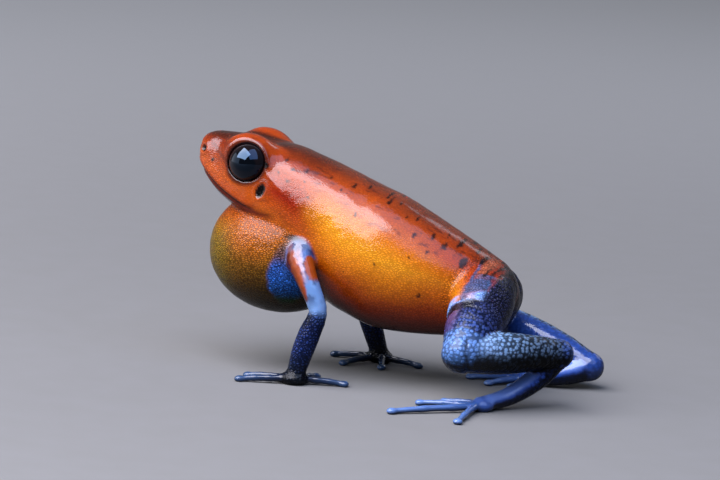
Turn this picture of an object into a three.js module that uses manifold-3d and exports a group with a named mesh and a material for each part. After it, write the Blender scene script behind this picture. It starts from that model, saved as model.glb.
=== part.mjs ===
// Strawberry poison dart frog, a calling male, life size. Millimetres, +Z up.
// It sits with its chest raised and its throat sac full, facing -X, on straight arms and folded legs.
// The trunk is one loft from snout to rump, drawn in body axes: s runs from the snout tip to the rump and
// t points out of the back. Limbs are tubes along bent paths, drawn in the part's own axes.
// The whole is parted into named pieces by thin cuts, and all that stands on the ground has flats at z = 0.
import * as THREE from 'three';
import { ParametricGeometry } from 'three/addons/geometries/ParametricGeometry.js';
import { mergeVertices } from 'three/addons/utils/BufferGeometryUtils.js';
import Module from 'manifold-3d';

const wasm = await Module();
wasm.setup();

// Driving dimensions
const GAP = 0.25; // between neighbouring pieces
const BODY_LENGTH = 22.65; // snout to rump along the body axis
const BODY_PITCH = 19.85 * Math.PI / 180; // how far the body axis slopes down towards the rump
const SNOUT_TIP = new THREE.Vector3(-10.8, 0, 13.0);
const SNOUT_ROUND = 1.25; // length over which the snout closes
const RUMP_ROUND = 1.8;
const NECK_AT = 6.3; // where the head is parted from the torso
// The line of the mouth from the side, as s and t: it dips behind the chin and rises at the corner.
const MOUTH_LINE = [
  [-2, -0.3], [0.3, -0.6], [1.2, -0.9], [2.6, -1.24], [4.5, -1.32], [5.6, -1.05], [7.5, -0.6],
];
const EYE_RADIUS = 1.25;
const EYE_AT = { s: 3.85, side: 2.1, t: 1.2 };
const LID_RADII = { s: 1.9, side: 1.5, t: 1.6 };
const LID_AT = { s: 3.8, side: 1.75, t: 1.33 };
const NOSTRIL_AT = { s: 0.66, side: 1.3, t: 0.6 };
const NOSTRIL_RADIUS = 0.2;
const EAR_AT = { s: 5.4, side: 3.1, t: 0.15 };
const EAR_RADII = { s: 0.4, side: 0.28, t: 0.6 };
const SAC_AT = new THREE.Vector3(-4.9, 0, 7.3);
const SAC_RADII = new THREE.Vector3(4.6, 4.0, 3.87);
const FLOOR_DEPTH = 10;

// Trunk stations: s, top and bottom of the section, its half width, the level where it is widest, and how
// square its upper half is (2 is an ellipse).
const TRUNK = [
  { s: 0.0, top: 1.4, bottom: -0.4, half: 1.35, widest: 0.2, square: 2.3 },
  { s: 1.0, top: 1.76, bottom: -1.05, half: 1.85, widest: -0.1, square: 2.5 },
  { s: 2.4, top: 2.25, bottom: -1.8, half: 2.45, widest: -0.6, square: 2.7 },
  { s: 3.9, top: 2.58, bottom: -2.15, half: 2.92, widest: -0.8, square: 2.6 },
  { s: 5.7, top: 2.98, bottom: -2.3, half: 3.3, widest: -0.7, square: 2.4 },
  { s: 7.6, top: 3.08, bottom: -2.8, half: 3.45, widest: -0.6, square: 2.3 },
  { s: 9.5, top: 3.08, bottom: -3.9, half: 3.65, widest: -0.7, square: 2.3 },
  { s: 11.5, top: 3.06, bottom: -4.85, half: 3.95, widest: -0.9, square: 2.2 },
  { s: 13.2, top: 3.05, bottom: -5.05, half: 4.1, widest: -1.0, square: 2.2 },
  { s: 14.9, top: 2.85, bottom: -5.0, half: 4.0, widest: -1.0, square: 2.2 },
  { s: 16.7, top: 2.62, bottom: -4.5, half: 3.65, widest: -0.8, square: 2.2 },
  { s: 18.7, top: 2.35, bottom: -3.7, half: 3.05, widest: -0.6, square: 2.2 },
  { s: 20.6, top: 2.05, bottom: -2.9, half: 2.45, widest: -0.4, square: 2.2 },
  { s: 22.65, top: 1.7, bottom: -2.3, half: 1.9, widest: -0.3, square: 2.2 },
];

// Arms. Each path runs from inside the shoulder over the elbow to the wrist; digit tips are on the ground.
const ARM_RADII = [0.95, 0.9, 0.76, 0.78, 0.8, 0.74, 0.62];
const ARMS = {
  left: {
    path: [[-2.7, -2.2, 9.0], [-2.85, -3.7, 8.2], [-2.0, -4.4, 6.3], [-1.15, -4.7, 4.6],
      [-1.45, -4.85, 3.2], [-1.8, -4.95, 2.0], [-2.1, -5.0, 0.75]],
    palm: [-2.2, -5.1],
    digits: [
      { knuckle: [-1.1, -4.7], tip: [0.75, -4.15] },
      { knuckle: [-1.9, -4.2], tip: [-1.45, -2.75] },
      { knuckle: [-3.4, -5.0], tip: [-5.2, -4.85] },
      { knuckle: [-3.3, -5.6], tip: [-5.3, -6.3] },
    ],
  },
  right: {
    path: [[-2.7, 2.2, 9.0], [-2.85, 3.7, 8.2], [-2.1, 4.5, 6.4], [-1.2, 4.9, 4.7],
      [-0.6, 4.95, 3.3], [-0.1, 4.95, 2.1], [0.4, 4.95, 0.75]],
    palm: [0.5, 5.0],
    digits: [
      { knuckle: [1.5, 4.7], tip: [3.2, 4.4] },
      { knuckle: [0.9, 4.0], tip: [1.3, 2.5] },
      { knuckle: [-0.2, 4.2], tip: [-1.2, 2.5] },
      { knuckle: [-0.6, 5.0], tip: [-2.5, 5.0] },
    ],
  },
};

// Legs. The bones meet at the knee and the heel; the foot fans out from the end of the tarsus.
const THIGH_RADII = [1.75, 1.95, 1.75, 1.2];
const SHANK_RADII = [1.15, 1.27, 1.12, 0.85];
const TARSUS_RADII = [0.75, 0.58, 0.52, 0.5];
const LEGS = {
  left: {
    thigh: [[9.2, -0.8, 6.6], [9.15, -3.0, 6.1], [9.0, -5.3, 4.9], [8.75, -7.5, 3.6]],
    shank: [[8.75, -7.5, 3.55], [10.5, -6.0, 3.55], [12.2, -4.4, 3.5], [13.65, -3.0, 3.4]],
    tarsus: [[13.65, -3.0, 3.4], [12.6, -3.6, 1.9], [11.2, -4.7, 0.8], [9.9, -6.3, 0.42]],
    digits: [
      { knuckle: [10.2, -4.9], tip: [9.2, -3.9] },
      { knuckle: [9.3, -5.9], tip: [7.4, -5.5] },
      { knuckle: [9.0, -6.5], tip: [6.2, -6.8] },
      { knuckle: [8.9, -7.4], tip: [5.4, -10.3] },
      { knuckle: [9.6, -7.4], tip: [9.6, -10.9] },
    ],
  },
  right: {
    thigh: [[8.2, 1.0, 6.0], [7.9, 3.2, 5.5], [7.2, 5.2, 4.4], [6.5, 6.9, 3.3]],
    shank: [[6.5, 6.9, 3.2], [9.1, 6.2, 2.75], [11.8, 5.4, 2.1], [14.1, 4.5, 1.4]],
    tarsus: [[14.1, 4.5, 1.4], [13.0, 3.9, 0.95], [11.7, 3.5, 0.65], [10.3, 3.6, 0.42]],
    digits: [
      { knuckle: [10.5, 2.9], tip: [9.9, 1.4] },
      { knuckle: [9.7, 3.0], tip: [8.4, 1.6] },
      { knuckle: [9.3, 3.5], tip: [6.9, 3.0] },
      { knuckle: [9.2, 4.2], tip: [5.6, 6.2] },
      { knuckle: [9.8, 4.4], tip: [8.9, 7.4] },
    ],
  },
};
const PALM = { length: 0.95, width: 0.85, thick: 0.5, height: 0.38 };
const SOLE = { length: 0.8, width: 0.72, thick: 0.44, height: 0.33 };
const DIGIT_RADIUS = 0.28;
const DISC_RADIUS = 0.38;
const DIGIT_HEIGHT = 0.22; // of a digit's axis; less than its radius, so that it has a flat

const SIDES = { left: -1, right: 1 };
const ORANGE = new THREE.MeshStandardMaterial({ color: 0xd2500f, roughness: 0.3, metalness: 0 });
const GOLD = new THREE.MeshStandardMaterial({ color: 0xb5761c, roughness: 0.45, metalness: 0 });
const BLUE = new THREE.MeshStandardMaterial({ color: 0x26366f, roughness: 0.4, metalness: 0 });
const BLACK = new THREE.MeshStandardMaterial({ color: 0x050507, roughness: 0.05, metalness: 0 });

// A value of the stations at s, on a smooth curve through them.
function along(stations, key, s) {
  const last = stations.length - 1;
  let i = 0;
  while (i < last - 1 && s > stations[i + 1].s) i += 1;
  const slope = (j) => {
    const a = stations[Math.max(j - 1, 0)];
    const b = stations[Math.min(j + 1, last)];
    return (b[key] - a[key]) / (b.s - a.s);
  };
  const [p, q] = [stations[i], stations[i + 1]];
  const h = q.s - p.s;
  const x = (s - p.s) / h;
  return p[key] * (1 + 2 * x) * (1 - x) ** 2 + q[key] * x * x * (3 - 2 * x)
    + h * x * (1 - x) * (slope(i) * (1 - x) - slope(i + 1) * x);
}

// A closed geometry as a solid: doubled vertices are merged and faces that collapse at a pole are dropped.
function solid(geometry) {
  const bare = new THREE.BufferGeometry();
  bare.setAttribute('position', geometry.getAttribute('position'));
  bare.setIndex(geometry.index);
  const merged = mergeVertices(bare, 1e-4);
  const index = merged.index.array;
  const kept = [];
  for (let i = 0; i < index.length; i += 3) {
    const [a, b, c] = [index[i], index[i + 1], index[i + 2]];
    if (a !== b && b !== c && c !== a) kept.push(a, b, c);
  }
  const mesh = (faces) => new wasm.Mesh({
    numProp: 3,
    vertProperties: merged.getAttribute('position').array,
    triVerts: new Uint32Array(faces),
  });
  const made = new wasm.Manifold(mesh(kept));
  return made.volume() > 0 ? made : new wasm.Manifold(mesh(kept.reverse()));
}

// A solid back as a geometry for a mesh.
function geometryOf(body) {
  const m = body.getMesh();
  return new THREE.BufferGeometry()
    .setAttribute('position', new THREE.BufferAttribute(new Float32Array(m.vertProperties), 3))
    .setIndex(new THREE.BufferAttribute(new Uint32Array(m.triVerts), 1));
}

const bodyFrame = new THREE.Matrix4().makeRotationY(BODY_PITCH).setPosition(SNOUT_TIP);
const inBody = (geometry) => geometry.applyMatrix4(bodyFrame);

// The trunk, swollen by grow: superelliptic sections whose size runs down to nothing at the snout and rump.
function trunk(grow = 0) {
  const around = 26;
  const length = 40;
  const surface = (u, v, target) => {
    const angle = u * 2 * Math.PI;
    const reach = 0.5 - 0.5 * Math.cos(Math.PI * v);
    const s = THREE.MathUtils.lerp(v, reach, 0.35) * BODY_LENGTH;
    const nose = Math.max(0, 1 - s / SNOUT_ROUND);
    const tail = Math.max(0, 1 - (BODY_LENGTH - s) / RUMP_ROUND);
    const close = Math.sqrt(Math.max(0, 1 - nose * nose)) * Math.sqrt(Math.max(0, 1 - tail * tail));
    const [top, bottom, half, widest, square] = ['top', 'bottom', 'half', 'widest', 'square']
      .map((key) => along(TRUNK, key, s));
    const upper = Math.sin(angle) > 0;
    const power = 2 / (upper ? square : 2.1);
    const across = Math.sign(Math.cos(angle)) * Math.abs(Math.cos(angle)) ** power;
    const rise = Math.abs(Math.sin(angle)) ** power;
    const t = upper ? widest + (top - widest) * rise : widest - (widest - bottom) * rise;
    const middle = (top + bottom) / 2;
    const swell = close > 0 ? grow : 0;
    const y = across * (half * close + swell);
    const level = middle + (t - middle) * close + swell * (upper ? rise : -rise);
    target.set(s + grow * (2 * s / BODY_LENGTH - 1), y, level);
  };
  return solid(inBody(new ParametricGeometry(surface, around, length)));
}

// A tube of round or elliptic section along a smooth path, with domed ends. flat is height over width.
function tube(path, radii, { sides = 12, steps = 20, flat = 1, grow = 0, over = [0, 0, 1] } = {}) {
  const curve = new THREE.CatmullRomCurve3(path.map((p) => new THREE.Vector3(...p)), false, 'centripetal');
  const length = curve.getLength();
  const stations = radii.map((r, i) => ({ s: i / (radii.length - 1), r }));
  const up = vector(over);
  const surface = (u, v, target) => {
    const angle = u * 2 * Math.PI;
    const reach = 0.5 - 0.5 * Math.cos(Math.PI * v);
    const at = THREE.MathUtils.lerp(v, reach, 0.6);
    const centre = curve.getPoint(at);
    const forward = curve.getTangent(at);
    const side = new THREE.Vector3().crossVectors(forward, up).normalize();
    const above = new THREE.Vector3().crossVectors(side, forward);
    const r = along(stations, 'r', at) + grow;
    const dome = Math.min(0.45, (radii[0] + grow) / length);
    const endDome = Math.min(0.45, (radii[radii.length - 1] + grow) / length);
    const head = Math.max(0, 1 - at / dome);
    const tail = Math.max(0, 1 - (1 - at) / endDome);
    const close = Math.sqrt(Math.max(0, 1 - head * head)) * Math.sqrt(Math.max(0, 1 - tail * tail));
    target.copy(centre)
      .addScaledVector(side, Math.cos(angle) * r * close)
      .addScaledVector(above, Math.sin(angle) * r * close * flat);
  };
  return solid(new ParametricGeometry(surface, sides, steps));
}

function ellipsoid(at, radii, { across = 20, down = 12, frame = null } = {}) {
  const g = new THREE.SphereGeometry(1, across, down);
  g.scale(...radii);
  g.translate(...at);
  return solid(frame ? g.applyMatrix4(frame) : g);
}

// A box in body axes, from one corner to the other.
function bodyBox(low, high) {
  const size = high.map((h, i) => h - low[i]);
  const g = new THREE.BoxGeometry(...size);
  g.translate(...low.map((l, i) => l + size[i] / 2));
  return solid(inBody(g));
}

const vector = (p) => new THREE.Vector3(...p);
const largest = (body) => body.decompose().reduce((a, b) => (b.volume() > a.volume() ? b : a));

// All of the head's space under the line of the mouth, moved up (side 1) or down (side -1) by half a gap.
function mouthBlock(side) {
  const point = (s, t) => new THREE.Vector2(s, t);
  const line = new THREE.SplineCurve(MOUTH_LINE.map(([s, t]) => point(s, t + side * GAP / 2)));
  const shape = new THREE.Shape([point(-2, -9), point(7.5, -9), ...line.getPoints(14).reverse()]);
  const g = new THREE.ExtrudeGeometry(shape, { depth: 16, bevelEnabled: false });
  g.translate(0, 0, -8);
  g.rotateX(Math.PI / 2);
  return solid(inBody(g));
}

// What lies beyond a plane through a point, on the side that way points to, half a gap short of the plane.
function beyond(body, at, way, reach = 12) {
  const g = new THREE.BoxGeometry(reach * 2, reach * 2, reach);
  g.translate(0, 0, reach / 2 + GAP / 2);
  const up = new THREE.Vector3(0, 0, 1);
  g.applyQuaternion(new THREE.Quaternion().setFromUnitVectors(up, way.clone().normalize()));
  g.translate(at.x, at.y, at.z);
  return largest(body.intersect(solid(g)));
}
const before = (body, at, way) => beyond(body, at, way.clone().negate());

const floorBox = (() => {
  const g = new THREE.BoxGeometry(80, 80, FLOOR_DEPTH);
  g.translate(0, 0, -FLOOR_DEPTH / 2);
  return solid(g);
})();
const onFloor = (body) => largest(body.subtract(floorBox));

// Digits fan out from a palm or sole; each has a round disc at its tip.
function digit(root, { knuckle, tip }) {
  const low = (p) => [p[0], p[1], DIGIT_HEIGHT];
  const bend = [(knuckle[0] + tip[0]) / 2, (knuckle[1] + tip[1]) / 2, DIGIT_HEIGHT + 0.08];
  const bone = tube([[...root, 0.4], [knuckle[0], knuckle[1], DIGIT_HEIGHT + 0.12], bend, low(tip)],
    [DIGIT_RADIUS * 1.35, DIGIT_RADIUS * 1.1, DIGIT_RADIUS, DIGIT_RADIUS * 0.95], { sides: 6, steps: 7 });
  const disc = ellipsoid(low(tip), [DISC_RADIUS, DISC_RADIUS, DIGIT_RADIUS * 1.1], { across: 8, down: 4 });
  return bone.add(disc);
}

// The pad that the digits spring from, with a flat underneath.
function pad(at, { length, width, thick, height }) {
  return ellipsoid([...at, height], [length, width, thick], { across: 10, down: 6 });
}

function throatSac(grow = 0) {
  return ellipsoid(SAC_AT.toArray(), SAC_RADII.toArray().map((r) => r + grow), { across: 26, down: 16 });
}

// Builds the trunk's pieces: head with its lids, lower jaw, throat sac and torso.
function trunkPieces() {
  const whole = trunk();
  const grown = trunk(GAP);
  const ahead = bodyBox([-2, -8, -8], [NECK_AT - GAP / 2, 8, 8]);
  const behind = bodyBox([NECK_AT + GAP / 2, -8, -8], [BODY_LENGTH + 2, 8, 8]);
  const skull = whole.intersect(ahead);
  let head = skull;
  for (const side of Object.values(SIDES)) {
    const lidAt = [LID_AT.s, side * LID_AT.side, LID_AT.t];
    const lidRadii = [LID_RADII.s, LID_RADII.side, LID_RADII.t];
    head = head.add(ellipsoid(lidAt, lidRadii, { across: 18, down: 12, frame: bodyFrame }));
  }
  head = head.subtract(mouthBlock(1));
  for (const side of Object.values(SIDES)) {
    const socket = EYE_RADIUS + GAP;
    head = head.subtract(ellipsoid([EYE_AT.s, side * EYE_AT.side, EYE_AT.t], [socket, socket, socket],
      { across: 16, down: 12, frame: bodyFrame }));
    head = head.subtract(ellipsoid([NOSTRIL_AT.s, side * NOSTRIL_AT.side, NOSTRIL_AT.t],
      [NOSTRIL_RADIUS, NOSTRIL_RADIUS * 2, NOSTRIL_RADIUS * 1.3], { across: 8, down: 6, frame: bodyFrame }));
    head = head.subtract(ellipsoid([EAR_AT.s, side * EAR_AT.side, EAR_AT.t],
      [EAR_RADII.s + GAP * 0.6, EAR_RADII.side + GAP * 0.6, EAR_RADII.t + GAP * 0.6],
      { across: 10, down: 6, frame: bodyFrame }));
  }
  const sac = throatSac().subtract(grown);
  return {
    head: largest(head),
    lower_jaw: largest(skull.intersect(mouthBlock(-1))),
    vocal_sac: largest(sac),
    torso: largest(whole.intersect(behind)),
    grown,
  };
}

function eye(side) {
  return ellipsoid([EYE_AT.s, side * EYE_AT.side, EYE_AT.t], [EYE_RADIUS, EYE_RADIUS, EYE_RADIUS],
    { across: 16, down: 11, frame: bodyFrame });
}

function ear(side) {
  return ellipsoid([EAR_AT.s, side * EAR_AT.side, EAR_AT.t], [EAR_RADII.s, EAR_RADII.side, EAR_RADII.t],
    { across: 10, down: 6, frame: bodyFrame });
}

function armPieces({ path, palm, digits }, clear) {
  const limb = tube(path, ARM_RADII, { steps: 24, over: [1, 0, 0] }).subtract(clear);
  const elbow = vector(path[3]);
  const wrist = vector(path[5]).lerp(vector(path[6]), 0.35);
  const elbowWay = vector(path[4]).sub(vector(path[2]));
  const wristWay = vector(path[6]).sub(vector(path[5]));
  const lower = beyond(limb, elbow, elbowWay);
  let hand = beyond(lower, wrist, wristWay).add(pad(palm, PALM));
  for (const d of digits) hand = hand.add(digit(palm, d));
  return {
    upper_arm: before(limb, elbow, elbowWay),
    forearm: before(lower, wrist, wristWay),
    hand: onFloor(beyond(hand, wrist, wristWay)),
  };
}

// A path with its first or last point moved out by a length, so that the dome there covers the joint.
function longer(path, first, last) {
  const points = path.map((p) => vector(p));
  const end = points.length - 1;
  const out = (a, b, by) => b.clone().sub(a).setLength(by).add(b).toArray();
  const made = path.map((p) => [...p]);
  if (first > 0) made[0] = out(points[1], points[0], first);
  if (last > 0) made[end] = out(points[end - 1], points[end], last);
  return made;
}

// The way that a joint is cut: across the bend, halfway between the two bones that meet there.
function bendWay(from, joint, to) {
  const back = vector(from).sub(vector(joint)).normalize();
  const on = vector(to).sub(vector(joint)).normalize();
  return on.sub(back);
}

function legPieces({ thigh, shank, tarsus, digits }, clear) {
  const knee = vector(thigh[3]);
  const heel = vector(tarsus[0]);
  const kneeWay = bendWay(thigh[2], thigh[3], shank[1]);
  const heelWay = bendWay(shank[2], shank[3], tarsus[1]);
  const upper = tube(longer(thigh, 0, 0.9), THIGH_RADII, { sides: 14, steps: 14 }).subtract(clear);
  const lower = beyond(tube(longer(shank, 0.9, 0.65), SHANK_RADII, { steps: 14 }), knee, kneeWay);
  const ankle = beyond(tube(longer(tarsus, 0.6, 0), TARSUS_RADII, { sides: 10, steps: 14 }), heel, heelWay);
  const mid = vector(tarsus[2]);
  const footWay = vector(tarsus[3]).sub(vector(tarsus[1]));
  const sole = tarsus[3].slice(0, 2);
  let foot = beyond(ankle, mid, footWay).add(pad(sole, SOLE));
  for (const d of digits) foot = foot.add(digit(sole, d));
  return {
    thigh: before(upper, knee, kneeWay),
    shank: onFloor(before(lower, heel, heelWay)),
    tarsus: onFloor(before(ankle, mid, footWay)),
    foot: onFloor(beyond(foot, mid, footWay)),
  };
}

const frog = new THREE.Group();
function place(name, body, material) {
  const mesh = new THREE.Mesh(geometryOf(body), material);
  mesh.name = name;
  frog.add(mesh);
}

const { grown, ...trunkParts } = trunkPieces();
place('head', trunkParts.head, ORANGE);
place('lower_jaw', trunkParts.lower_jaw, ORANGE);
place('vocal_sac', trunkParts.vocal_sac, GOLD);
place('torso', trunkParts.torso, ORANGE);
for (const [name, side] of Object.entries(SIDES)) {
  place(`eye_${name}`, eye(side), BLACK);
  place(`eardrum_${name}`, ear(side), BLACK);
  const arm = armPieces(ARMS[name], grown.add(throatSac(GAP)));
  for (const [piece, body] of Object.entries(arm)) place(`${piece}_${name}`, body, BLUE);
  const leg = legPieces(LEGS[name], grown);
  for (const [piece, body] of Object.entries(leg)) place(`${piece}_${name}`, body, BLUE);
}

// The part's origin is the middle of its footprint, on the ground.
const bounds = new THREE.Box3().setFromObject(frog);
const centre = bounds.getCenter(new THREE.Vector3());
frog.position.set(-centre.x, -centre.y, 0);

export default frog;
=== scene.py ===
"""A calling strawberry poison dart frog.

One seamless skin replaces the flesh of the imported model, and its two wet eyes and a plain studio go with it.
"""

import math

import bpy
import numpy as np
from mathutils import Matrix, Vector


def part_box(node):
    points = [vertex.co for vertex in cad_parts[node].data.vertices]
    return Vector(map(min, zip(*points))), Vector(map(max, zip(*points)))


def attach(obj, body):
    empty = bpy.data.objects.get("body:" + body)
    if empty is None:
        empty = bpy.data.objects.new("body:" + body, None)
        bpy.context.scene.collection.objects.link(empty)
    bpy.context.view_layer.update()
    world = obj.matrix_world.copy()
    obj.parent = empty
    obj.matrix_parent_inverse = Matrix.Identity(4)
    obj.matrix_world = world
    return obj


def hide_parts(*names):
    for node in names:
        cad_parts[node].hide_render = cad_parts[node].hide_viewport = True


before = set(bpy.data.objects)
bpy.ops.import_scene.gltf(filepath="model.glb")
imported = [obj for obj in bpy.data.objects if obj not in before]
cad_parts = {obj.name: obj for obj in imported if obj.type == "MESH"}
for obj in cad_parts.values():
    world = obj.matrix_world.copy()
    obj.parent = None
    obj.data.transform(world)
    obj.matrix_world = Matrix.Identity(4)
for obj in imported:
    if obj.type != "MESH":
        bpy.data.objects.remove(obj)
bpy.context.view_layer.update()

import openvdb
from mathutils import Matrix, Vector

bl_info = {
    "name": "Poison dart frog",
    "version": (1, 0, 0),
    "blender": (4, 5, 0),
    "location": "View3D > Sidebar > Frog",
    "description": "Builds the skin, eyes and studio of a calling strawberry poison dart frog",
    "category": "Add Mesh",
}

# Sizes are in millimetres, in the pose's own axes: the frog faces -X, its left side is -Y and the floor is
# z = 0. Body axes start at the tip of the snout: s runs back along the body, side to its right and t out of
# its back.
MM = 0.001
BODY_LENGTH = 22.45
HEAD_LENGTH = 7.5
BODY_PITCH = math.radians(19.85)
SNOUT_TIP = np.array([-10.8, 0.0, 13.0])
ALONG = np.array([math.cos(BODY_PITCH), 0.0, -math.sin(BODY_PITCH)])
SIDEWAYS = np.array([0.0, 1.0, 0.0])
OUTWARD = np.array([math.sin(BODY_PITCH), 0.0, math.cos(BODY_PITCH)])
BODY_AXES = np.stack([ALONG, SIDEWAYS, OUTWARD], axis=1)
SIDES = {"left": -1.0, "right": 1.0}
# A distance that is taken where a form is too far off to matter, and one that is farther than any.
FAR = 3.0
FARTHEST = 9.0

# How the trunk ends: where the snout's front starts, how far it slants back below the slant's top, and the
# length and squareness of its rounding; the length of the rump's rounding; and the squareness of the
# sections' lower half.
SNOUT_START = 0.08
SNOUT_SLANT = 0.24
SLANT_TOP = 0.9
SLANT_DEPTH = 1.6
SNOUT_ROUND = 1.15
SNOUT_SQUARE = 2.9
RUMP_ROUND = 2.2
BELLY_SQUARE = 2.1

# Eyes, with places as s, side and t. EYE_OUT moves each ball out from where the solids have it. The lids
# open round it as a ring, which starts at a level along the way that it looks, and flares out from there to
# a soft rim.
EYE_RADIUS = 1.25
EYE_AT = (3.85, 2.1, 1.2)
EYE_OUT = 0.17
EYE_LOOKS = (-0.12, 0.97, 0.16)
EYE_ROWS = 40
EYE_COLUMNS = 64
CORNEA_SWELL = 0.03
PUPIL_RADII = (0.62, 0.46)
LID_AT = (3.8, 1.75, 1.33)
LID_RADII = (1.9, 1.4, 1.6)
LID_OPENING = 1.19
LID_LEVEL = 0.4
LID_FLARE = 1.1
LID_STEEPNESS = 0.67
LID_RIM_OUT = 0.07
LID_RIM_RADIUS = 0.065
SOCKET_GAP = 0.02

# Nostrils and eardrums seen from the side: s and t, and the radii of each along them.
NOSTRIL_AT = (0.66, 0.6)
NOSTRIL_RADII = (1.0, 1.2)
EAR_AT = (5.4, 0.15)
EAR_RADII = (0.3, 0.48)
# The eardrums start and are full this far out to the side, and the head's own relief and colours fade out
# from the second to the first of these places along the body.
EAR_FADE = (2.0, 2.6)
HEAD_FADE = (6.6, 5.8)
# The throat sac, in the pose's axes.
SAC_AT = (-4.9, 0.0, 7.3)
SAC_RADII = (4.6, 4.0, 3.87)

# Trunk stations: s, top, bottom, half width, level of the widest place, squareness of the upper half.
TRUNK = np.array([
    (0.0, 1.5, -0.2, 1.3, 0.25, 2.4),
    (1.0, 1.76, -0.82, 1.82, 0.0, 2.5),
    (2.4, 2.22, -1.58, 2.42, -0.5, 2.7),
    (3.9, 2.55, -1.98, 2.9, -0.75, 2.6),
    (5.7, 2.98, -2.3, 3.3, -0.7, 2.4),
    (7.6, 3.08, -2.8, 3.45, -0.6, 2.3),
    (9.5, 3.08, -3.9, 3.65, -0.7, 2.3),
    (11.5, 3.06, -4.85, 3.95, -0.9, 2.2),
    (13.2, 3.05, -5.05, 4.1, -1.0, 2.2),
    (14.9, 2.85, -5.0, 4.0, -1.0, 2.2),
    (16.7, 2.62, -4.5, 3.65, -0.8, 2.2),
    (18.7, 2.35, -3.7, 3.05, -0.6, 2.2),
    (20.6, 2.05, -2.9, 2.45, -0.4, 2.2),
    (22.45, 1.7, -2.3, 1.9, -0.3, 2.2),
])
# The line of the mouth from the side, as s and t, and the s of its corner.
MOUTH_LINE = np.array([
    (-1.0, -0.1), (0.3, -0.3), (1.2, -0.58), (2.6, -0.98), (4.5, -1.24), (5.6, -1.12), (6.4, -0.9),
])
MOUTH_END = 5.3

# Arms: a path from the shoulder by the elbow to the wrist, the middle of the palm on the floor, and the
# knuckle and tip of each finger there.
ARM_RADII = (0.95, 0.86, 0.66, 0.56, 0.67, 0.66, 0.56)
ARMS = {
    "left": {
        "path": [(-2.7, -2.2, 8.5), (-2.7, -3.6, 7.55), (-1.93, -4.4, 6.3), (-1.08, -4.7, 4.6),
                 (-1.45, -4.85, 3.2), (-1.8, -4.95, 2.0), (-2.1, -5.0, 0.75)],
        "palm": (-2.2, -5.1),
        "digits": [((-1.1, -4.7), (0.75, -4.15)), ((-1.9, -4.2), (-1.45, -2.75)),
                   ((-3.4, -5.0), (-5.2, -4.85)), ((-3.3, -5.6), (-5.3, -6.3))],
    },
    "right": {
        "path": [(-2.7, 2.2, 8.5), (-2.7, 3.6, 7.55), (-2.1, 4.5, 6.4), (-1.2, 4.9, 4.7),
                 (-0.6, 4.95, 3.3), (-0.1, 4.95, 2.1), (0.4, 4.95, 0.75)],
        "palm": (0.5, 5.0),
        "digits": [((1.5, 4.7), (3.2, 4.4)), ((0.9, 4.0), (1.3, 2.5)),
                   ((-0.2, 4.2), (-1.2, 2.5)), ((-0.6, 5.0), (-2.5, 5.0))],
    },
}
# Legs: a path for each stretch, from the hip to the root of the toes, and the knuckle and tip of each toe.
THIGH_RADII = (1.3, 1.88, 1.7, 1.2)
SHANK_RADII = (1.15, 1.27, 1.12, 0.85)
TARSUS_RADII = (0.82, 0.7, 0.56, 0.45)
LEGS = {
    "left": {
        "thigh": [(8.9, -0.8, 6.5), (8.78, -3.0, 6.0), (8.82, -5.3, 4.85), (8.75, -7.5, 3.6)],
        "shank": [(8.75, -7.5, 3.55), (10.5, -6.0, 3.55), (12.2, -4.4, 3.5), (13.65, -3.0, 3.4)],
        "tarsus": [(13.65, -3.0, 3.4), (12.6, -3.6, 1.9), (11.2, -4.7, 0.8), (9.9, -6.3, 0.42)],
        "digits": [((10.2, -4.9), (9.2, -3.9)), ((9.3, -5.9), (7.4, -5.5)), ((9.0, -6.5), (6.2, -6.8)),
                   ((8.9, -7.4), (5.4, -10.3)), ((9.6, -7.4), (9.6, -10.9))],
    },
    "right": {
        "thigh": [(8.2, 1.0, 6.0), (7.9, 3.2, 5.5), (7.2, 5.2, 4.4), (6.5, 6.9, 3.3)],
        "shank": [(6.5, 6.9, 3.2), (9.1, 6.2, 2.75), (11.8, 5.4, 2.1), (14.1, 4.5, 1.4)],
        "tarsus": [(14.1, 4.5, 1.4), (13.0, 3.9, 0.95), (11.7, 3.5, 0.65), (10.3, 3.6, 0.42)],
        "digits": [((10.5, 2.9), (9.9, 1.4)), ((9.7, 3.0), (8.4, 1.6)), ((9.3, 3.5), (6.9, 3.0)),
                   ((9.2, 4.2), (5.6, 6.2)), ((9.8, 4.4), (8.9, 7.4))],
    },
}
PALM_RADII = (0.85, 0.75, 0.44)
PALM_HEIGHT = 0.34
SOLE_RADII = (0.66, 0.58, 0.38)
SOLE_HEIGHT = 0.3
# Digits: their radius and its taper, the radii of the disc at the tip, and the heights of their middle line
# at the root, the knuckle, the bend and the tip.
DIGIT_RADIUS = 0.19
DIGIT_TAPER = (1.35, 1.08, 0.98, 0.86)
DISC_RADII = (0.3, 0.3, 0.19)
DISC_DROP = 0.01
DIGIT_HEIGHTS = (0.4, 0.315, 0.275, 0.175)

# How softly each form joins the rest.
JOIN = {"lid": 0.5, "lid_edge": 0.22, "lid_rim": 0.26, "socket": 0.03, "sac": 0.3, "arm": 0.4, "leg": 0.6,
        "thigh": 0.18, "shank": 0.18, "tarsus": 0.25, "pad": 0.3, "digit": 0.14, "disc": 0.12}

# Relief. Bells across a line are each a height, a place and a half width; the rest are depths or heights.
LIP_BELLS = ((-0.13, 0.0, 0.075), (0.05, 0.24, 0.13), (0.02, -0.2, 0.1))
NOSTRIL_BELLS = ((-0.16, 0.0, 0.14), (0.05, 0.26, 0.1))
HIP_BELLS = ((0.02, 0.01, 0.05), (-0.06, 0.085, 0.03))
DIGIT_BELLS = ((0.025, 0.42, 0.05), (0.02, 0.7, 0.05))
RELIEF = {"ear": 0.07, "ear_rim": 0.012, "cheek": 0.08, "neck_fold": 0.05, "wrinkle": 0.014, "slump": 0.03,
          "elbow": 0.05, "knee": 0.07}
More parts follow.
